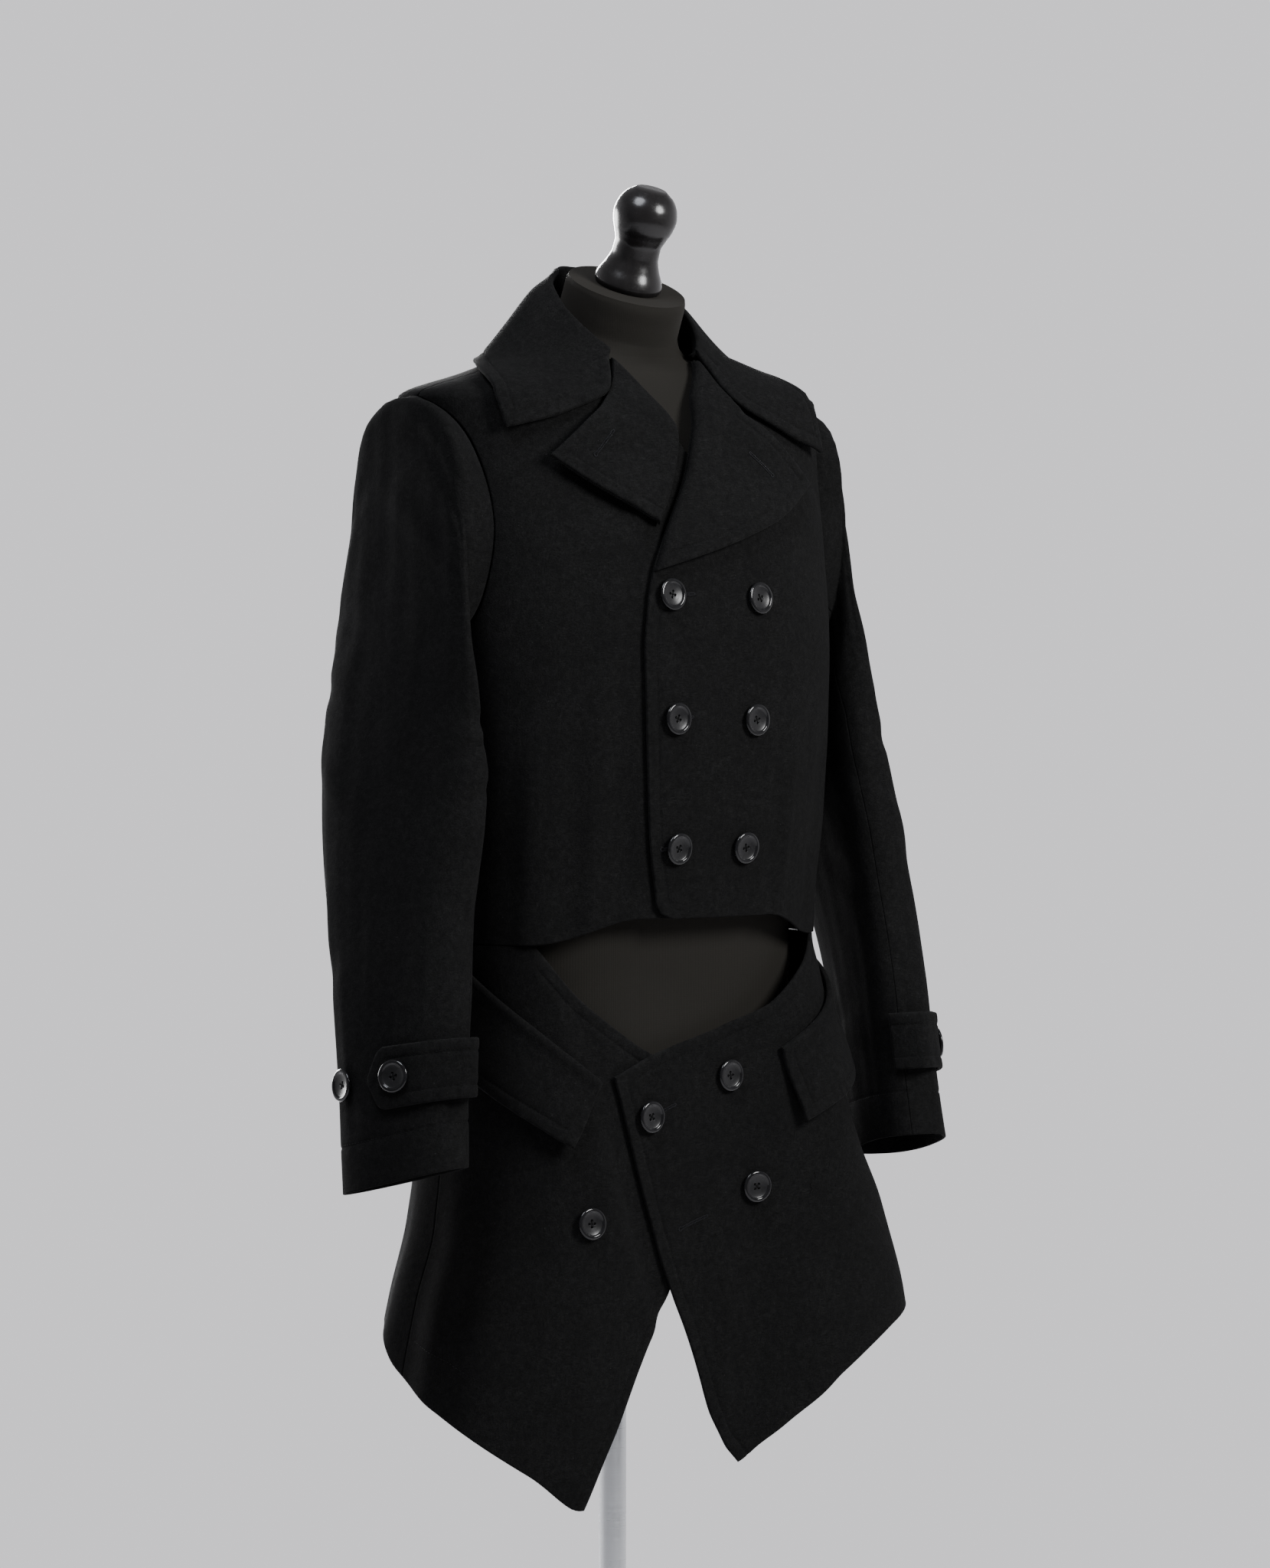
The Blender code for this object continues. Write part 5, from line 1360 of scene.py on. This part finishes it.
def skirt_front_points(side):
    """Bearings and heights of a front of the skirt, and the share of its top that is a free edge."""
    rows, cols = 150, 110
    sign, edge, top = {"left": (1.0, LEFT_FRONT_EDGE, LEFT_TOP_EDGE),
                       "right": (-1.0, RIGHT_FRONT_EDGE, RIGHT_TOP_EDGE)}[side]
    edge, top = through(edge, np.linspace(0, 1, rows)), np.array(top)
    for line in (edge, top):
        line[:, 0] = bearing_for(skirt, line[:, 0], line[:, 1])
    far = sign * (SIDE_SEAM - HALF_GAP)
    corner = (sign * CUT_OUT_END, SKIRT_TOP)
    free = int(cols * 0.72)
    sewn = through([corner, (far, SKIRT_TOP)], np.linspace(0, 1, cols - free + 1), DEGREE)
    top = np.concatenate([through([*top, corner], np.linspace(0, 1, free), DEGREE), sewn[1:]])
    hem_at = edge[0, 0] + (far - edge[0, 0]) * np.linspace(0, 1, len(top)) ** 0.9
    hem = np.stack([hem_at, curve(hem_at, HEM["bearing"], HEM["height"])], -1)
    seam = np.stack([np.full(rows, far), np.linspace(hem[-1, 1], SKIRT_TOP, rows)], -1)
    grid = patch(edge, seam, hem, top)
    return grid[..., 0], grid[..., 1], free / cols


class COAT_OT_skirt(bpy.types.Operator):
    """Cut and hang the three panels of the skirt, and lay on the pocket flaps"""
    bl_idname = "coat.skirt"
    bl_label = "Make skirt and flaps"

    def execute(self, context):
        cell = context.scene.coat_sizes.cell

        def welt(u, v, gaps):
            top = gaps["high"]
            roll = 0.0016 * bell(top, 0.0042, 0.0030) - 0.0008 * bell(top, 0.0092, 0.0014)
            sag = 0.0016 * np.sin(math.pi * u) * np.sin(math.pi * np.clip(1 - v, 0, 1)) * ease(top / 0.01)
            # the free edge stands off the skirt, most where it is furthest from the pocket
            return roll + sag + 0.0065 * ease(1 - gaps["low"] / 0.055) * ease(top / 0.03)

        for side in FLIPS:
            turn, height, free = skirt_front_points(side)
            lift = -skirt_set_back(skirt(turn, height)) if side == "right" else 0.0
            sew("skirt_" + side + "_front", *panel_points(skirt, turn, height, lift), SINGLE,
                ("turned", "seam", (0.0, free * 0.97), WHOLE), cell, "hung", ["form_torso"])
            top_front, low_front, low_rear, top_rear = np.array(FLAPS[side])
            u, v = np.linspace(0, 1, 80)[:, None], np.linspace(0, 1, 60)[:, None, None]
            grid = (1 - v) * ((1 - u) * low_front + u * low_rear) + v * ((1 - u) * top_front + u * top_rear)
            points, out = panel_points(skirt, grid[..., 0], grid[..., 1], LIE_GAP + DOUBLE)
            sew(side + "_pocket_flap", points, out, DOUBLE, (WHOLE, (0.0, 0.94), "turned", (0.0, 0.94)),
                cell * 0.7, "laid", ["skirt_" + side + "_front_cloth"], welt)
        turn = np.linspace(SIDE_SEAM + HALF_GAP, 360 - SIDE_SEAM - HALF_GAP, 190)
        v = np.linspace(0, 1, 120)[:, None]
        hem = curve(round_from(turn), HEM["bearing"], HEM["height"])
        points, out = panel_points(skirt, turn + 0 * v, hem * (1 - v) + SKIRT_TOP * v)
        points, out = (part[::-1] for part in tucked(points[::-1], out[::-1]))
        sew("skirt_back", points, out, SINGLE, ("turned", "seam", "seam", "seam"), cell, "hung",
            ["form_torso"])
        return {"FINISHED"}


def button_mesh(sizes):
    """A turned four-hole button with a thick rounded rim and a dished face, standing on the origin."""
    outline = [(h, max(r, 0.0004) * sizes.button / 0.0254) for h, r in smooth_profile(BUTTON, 54)]
    blank = lofted("button_blank", turned_rings(outline, 56))
    drills = bmesh.new()
    radius = sizes.button_hole / 2
    for k in range(4):
        spot = Matrix.Rotation(math.pi / 4 + k * math.pi / 2, 4, "Z") @ Vector((0.0025, 0, 0.002))
        bmesh.ops.create_cone(drills, cap_ends=True, segments=20, radius1=radius, radius2=radius, depth=0.01,
                              matrix=Matrix.Translation(spot))
    tool = mesh_object("button_drills", drills)
    cut = blank.modifiers.new("holes", "BOOLEAN")
    cut.operation = "DIFFERENCE"
    cut.object = tool
    cut.solver = "EXACT"
    data = plain_mesh(blank, "button")
    bpy.data.objects.remove(tool)
    dish = data.attributes.new("dish", "FLOAT", "POINT")
    dish.data.foreach_set("value", [float(math.hypot(p.co.x, p.co.y) < 0.0091) for p in data.vertices])
    return data


def button_places():
    """Each button's node, the point of the cloth under it, the way out and how far it is turned."""
    found = [("jacket_button_" + str(i), jacket, *spot, 0.0) for i, spot in enumerate(JACKET_BUTTONS, 1)]
    found += [("skirt_button_" + str(i), skirt, *spot, -0.0003) for i, spot in enumerate(SKIRT_BUTTONS, 1)]
    x, height = UNDER_BUTTON
    found.append(("skirt_button_4", skirt, x, height, float(skirt_set_back(np.array([x, 0, height])))))
    places = []
    for k, (name, surface, x, height, back) in enumerate(found):
        level = np.array([height])
        (spot,), (out,) = panel_points(surface, bearing_for(surface, x, level), level, -back)
        # those towards the wearer's right tip a little and stand further off
        out = out + np.array([0.10, 0, 0]) * (x < 0)
        places.append((name, spot + out * 0.0006 * (x < 0), out, 0.5 + 2.3 * k))
    for side, flip in FLIPS.items():
        for k, (name, at, lift) in enumerate(CUFF_BUTTONS):
            (spot,), (out,) = on_sleeve([STRAP_MIDDLE], [at], side == "left")
            places.append((side + "_" + name, (spot + out * lift) * flip, out * flip, 1.1 + k))
    return places


class COAT_OT_buttons(bpy.types.Operator):
    """Turn the fourteen buttons and sew each one on through its four holes"""
    bl_idname = "coat.buttons"
    bl_label = "Make buttons"

    def execute(self, context):
        blank = button_mesh(context.scene.coat_sizes)
        sewing = bmesh.new()
        for name, spot, out, turn in button_places():
            out = Vector(out).normalized()
            tip = out.to_track_quat("Z", "Y").to_matrix().to_4x4()
            place = Matrix.Translation(Vector(spot) + out * SEW_GAP) @ tip @ Matrix.Rotation(turn, 4, "Z")
            data = blank.copy()
            data.name = name + "_turned"
            data.transform(place)
            dress(linked(name + "_turned", data), HORN, "horn", name)
            # two pairs of threads cross the face, and three strands are the shank
            for k in range(2):
                cross = Matrix.Rotation(math.pi / 4 + k * math.pi / 2, 4, "Z")
                over = [(-0.0026, 0.0006), (-0.0024, 0.0016), (-0.0016, 0.0020), (0, 0.0020 + 0.0003 * k),
                        (0.0016, 0.0020), (0.0024, 0.0016), (0.0026, 0.0006)]
                for aside in (-0.00024, 0.00024):
                    tube(sewing, [place @ (cross @ Vector((x, aside, z))) for x, z in over], 0.00022, 5)
            for aside in (-0.0009, 0, 0.0009):
                tube(sewing, [place @ Vector((aside, 0.0004, z)) for z in (-0.0012, 0.0006)], 0.0008, 6)
        dress(mesh_object("button_shank_threads", sewing), SHANK, "wool")
        return {"FINISHED"}


# Buttonholes: surface, piece, and the two ends as x and height. The eye is at the second end.
BUTTONHOLES = [
    (jacket, "right_lapel_cloth", (-0.0766, 1.4268), (-0.0980, 1.4034)),
    (jacket, "left_lapel_cloth", (0.0562, 1.4121), (0.0777, 1.3899)),
    (skirt, "skirt_left_front_cloth", (0.0143, 0.8032), (-0.0152, 0.7938)),
    (jacket, "jacket_left_front_cloth", (-0.0215, 1.2965), (-0.0465, 1.2955)),
    (jacket, "jacket_left_front_cloth", (-0.0248, 1.2000), (-0.0470, 1.1990)),
    (jacket, "jacket_left_front_cloth", (-0.0300, 1.0975), (-0.0515, 1.0965)),
    (skirt, "skirt_left_front_cloth", (-0.0198, 0.8937), (-0.0450, 0.8845)),
]


def buttonhole_outline(half_length):
    """A keyhole round a slit along x, with its eye at the high end."""
    eye, side = 0.0016, 0.0008
    a = np.linspace(-2.62, 2.62, 22)
    round_eye = np.stack([half_length - eye + eye * np.cos(a), eye * np.sin(a)], -1)
    bar = np.linspace(math.pi / 2, 1.5 * math.pi, 10)
    round_bar = np.stack([-half_length + side + side * np.cos(bar), side * np.sin(bar)], -1)
    points = np.concatenate([round_eye, round_bar, round_eye[:1]])
    run = run_of(points)
    return np.stack([np.interp(np.linspace(0, run[-1], 80), run, column) for column in points.T], -1)


class COAT_OT_buttonholes(bpy.types.Operator):
    """Work round the keyhole buttonholes with twist, and lay a dark sheet in each slit as painted shade"""
    bl_idname = "coat.buttonholes"
    bl_label = "Work buttonholes"

    def execute(self, context):
        lines, slit_shades = [], bmesh.new()
        for surface, piece, *ends in BUTTONHOLES:
            x, height = np.array(ends).T
            spots, out = panel_points(surface, bearing_for(surface, x, height), height)
            middle, way = spots.mean(0), unit(out.mean(0))
            along = unit(spots[1] - spots[0])
            along = unit(along - way * np.dot(along, way))
            aside = np.cross(way, along)
            outline = buttonhole_outline(np.linalg.norm(spots[1] - spots[0]) / 2)
            line = settled(piece, middle + outline[:, :1] * along + outline[:, 1:] * aside, way)
            tangent = along_line(line)
            tangent[0] = tangent[-1] = (tangent[0] + tangent[-1]) / 2
            lines.append((line + way * 0.00035, np.cross(way, tangent)))
            # a thin dark sheet over the cloth inside each slit is painted shade, where no light reaches into the
            # cut
            narrow = outline[:-1] * (0.93, 0.62)
            inner = settled(piece, middle + narrow[:, :1] * along + narrow[:, 1:] * aside, way)
            centre, *ring = (slit_shades.verts.new(p + way * 0.00012) for p in (inner.mean(0), *inner))
            *under, base = (slit_shades.verts.new(p - way * 0.0004) for p in (*inner, inner.mean(0)))
            for k in range(len(ring)):
                n = (k + 1) % len(ring)
                slit_shades.faces.new([centre, ring[k], ring[n]])
                slit_shades.faces.new([ring[k], under[k], under[n], ring[n]])
                slit_shades.faces.new([base, under[n], under[k]])
        laid_threads("buttonhole_twist", lines, TWIST, 0.00050, context.scene.coat_sizes.twist_width, 0.0014)
        # the dark sheets are painted shade inside the slits
        dress(mesh_object("buttonhole_slit_shade", slit_shades), SLIT_SHADE, "wool")
        return {"FINISHED"}


# Stitching on the skirt that doesn't follow an edge: piece, and places as bearing and height
LOOSE_SEAMS = {
    "skirt_right_front_cloth": [(-90.0, 0.7092), (-78.0, 0.6975), (-68.5, 0.6822), (-70.5, 0.6587)],
    "skirt_left_front_cloth": [(48.0, 0.6960), (48.6, 0.6880), (49.0, 0.6787)],
}
# A loose end of thread on the skirt: x, height and how far it stands off
LOOSE_THREAD = [(0.1178, 0.833, 0.0006), (0.119, 0.83, 0.0016), (0.118, 0.8268, 0.0022),
                (0.115, 0.825, 0.0016), (0.1135, 0.8222, 0.001), (0.115, 0.819, 0.0014),
                (0.1128, 0.816, 0.0008)]


class COAT_OT_stitching(bpy.types.Operator):
    """Run the topstitching along the finished edges, the cuffs and the mended hem"""
    bl_idname = "coat.stitching"
    bl_label = "Run topstitching"

    def execute(self, context):
        seams = []
        for piece, places in LOOSE_SEAMS.items():
            at, keys = np.linspace(0, 1, 60), np.linspace(0, 1, len(places))
            turn, height = (np.interp(at, keys, column) for column in zip(*places))
            seams.append((piece, *panel_points(skirt, turn, height)))
        down = np.full(90, 1 - CUFF_STITCH / SLEEVE_LENGTH)
        for side, flip in FLIPS.items():
            for part, first, last in (("top", SEAM_BACK - 360, SEAM_FRONT), ("under", SEAM_FRONT, SEAM_BACK)):
                points, out = sleeve_at(down, np.linspace(first + 3, last - 3, 90), side == "left")
                seams.append((side + "_sleeve_" + part + "_cloth", points * flip, out * flip))
        lines = [(np.array(line), along_line(line)) for line in stitch_lines if len(line) > 4]
        for piece, points, out in seams:
            points = settled(piece, points, out)
            lines.append((points + out * 0.0001, along_line(points)))
        sizes = context.scene.coat_sizes
        laid_threads("topstitching", lines, TOPSTITCH, sizes.stitch_pitch, sizes.thread_width,
                     sizes.stitch_length)
        strand = bmesh.new()
        x, height, lift = np.array(LOOSE_THREAD).T
        points = panel_points(skirt, bearing_for(skirt, x, height), height, lift)[0]
        tube(strand, curves(np.linspace(0, 1, 40), np.linspace(0, 1, len(points)), points), 0.00025, 5)
        dress(mesh_object("loose_thread", strand), TOPSTITCH, "wool")
        return {"FINISHED"}


# Lamps: bearing, elevation, distance, width, height, power and colour
LAMPS = {
    "key softbox": (16, 28, 2.4, 0.9, 1.0, 110, (1, 1, 1)),
    "fill softbox": (-66, 58, 3.4, 1.6, 1.8, 150, (0.90, 0.93, 1.0)),
    "back softbox": (150, 12, 3.6, 1.8, 1.6, 300, (1, 1, 1)),
    "far back softbox": (-172, 8, 3.6, 1.8, 1.6, 180, (1, 1, 1)),
}


class COAT_OT_stage(bpy.types.Operator):
    """Set the pale floor, the soft light and the camera"""
    bl_idname = "coat.stage"
    bl_label = "Set stage"

    def execute(self, context):
        floor = lofted("studio_floor", turned_rings([(-0.02, 2.9), (-0.0003, 2.9)], 96))
        floor.data.materials.append(bpy.data.materials[PAPER])

        for name, (azimuth, elevation, distance, width, height, power, tint) in LAMPS.items():
            light = bpy.data.lights.new(name, "AREA")
            light.shape = "ELLIPSE"
            light.size, light.size_y = width, height
            light.energy = power
            light.color = tint
            a, e = math.radians(azimuth), math.radians(elevation)
            way = Vector((math.sin(a) * math.cos(e), -math.cos(a) * math.cos(e), math.sin(e)))
            made = linked(name, light)
            made.location = Vector((0, 0, 1.1)) + way * distance
            made.rotation_euler = way.to_track_quat("Z", "Y").to_euler()

        azimuth = math.radians(-39)
        world = bpy.data.worlds.new("pale studio")
        world.use_nodes = True
        tree = world.node_tree
        way = add_node(tree, "ShaderNodeTexCoord")["Generated"]
        rise = add_node(tree, "ShaderNodeSeparateXYZ", {0: way})["Z"]
        # the lit wall is behind the coat, and the rest of the room is dimmer
        toward = (math.sin(azimuth), -math.cos(azimuth), 0)
        near = add_node(tree, "ShaderNodeVectorMath", {0: way, 1: toward}, operation="DOT_PRODUCT")["Value"]
        pale = linear("#C4C3C6")
        wall = blend(tree, spread(tree, near, -0.2, 0.5), tone(pale, 1.75), tone(pale, 0.38))
        sky = blend(tree, spread(tree, rise, 0.14, 0.55), wall, tone(pale, 0.62))
        tree.links.new(sky, tree.nodes["Background"].inputs["Color"])
        context.scene.world = world

        lens = bpy.data.cameras.new("photo camera")
        lens.sensor_fit = "VERTICAL"
        lens.sensor_width = lens.sensor_height = 36.0
        lens.lens = 8130 * 36 / 2048
        camera = linked("photo camera", lens)
        camera.location = (5 * math.sin(azimuth), -5 * math.cos(azimuth), 1.30)
        camera.rotation_euler = (math.pi / 2 - math.atan(254 / 8130), 0, azimuth - math.atan(29.5 / 8130))
        context.scene.camera = camera
        return {"FINISHED"}


OPERATORS = (COAT_OT_finishes, COAT_OT_stand, COAT_OT_form, COAT_OT_jacket, COAT_OT_lapels, COAT_OT_sleeves,
             COAT_OT_skirt, COAT_OT_buttons, COAT_OT_buttonholes, COAT_OT_stitching, COAT_OT_stage)


class COAT_PT_panel(bpy.types.Panel):
    """Lists the steps that dress the coat"""
    bl_idname = "COAT_PT_panel"
    bl_label = "Wool coat"
    bl_space_type = "VIEW_3D"
    bl_region_type = "UI"
    bl_category = "Coat"

    def draw(self, context):
        for group in (context.scene.coat_sizes, context.scene.coat_shades):
            box = self.layout.box()
            for name in group.bl_rna.properties.keys():
                if name not in ("rna_type", "name"):
                    box.prop(group, name)
        for operator in OPERATORS:
            self.layout.operator(operator.bl_idname)


CLASSES = (CoatSizes, CoatShades, *OPERATORS, COAT_PT_panel)


def register():
    for item in CLASSES:
        bpy.utils.register_class(item)
    bpy.types.Scene.coat_sizes = bpy.props.PointerProperty(type=CoatSizes)
    bpy.types.Scene.coat_shades = bpy.props.PointerProperty(type=CoatShades)


def unregister():
    del bpy.types.Scene.coat_shades
    del bpy.types.Scene.coat_sizes
    for item in reversed(CLASSES):
        bpy.utils.unregister_class(item)


def main():
    """Registers the add-on and runs every step in order."""
    register()
    for operator in OPERATORS:
        family, step = operator.bl_idname.split(".")
        getattr(getattr(bpy.ops, family), step)()


if __name__ == "__main__":
    main()
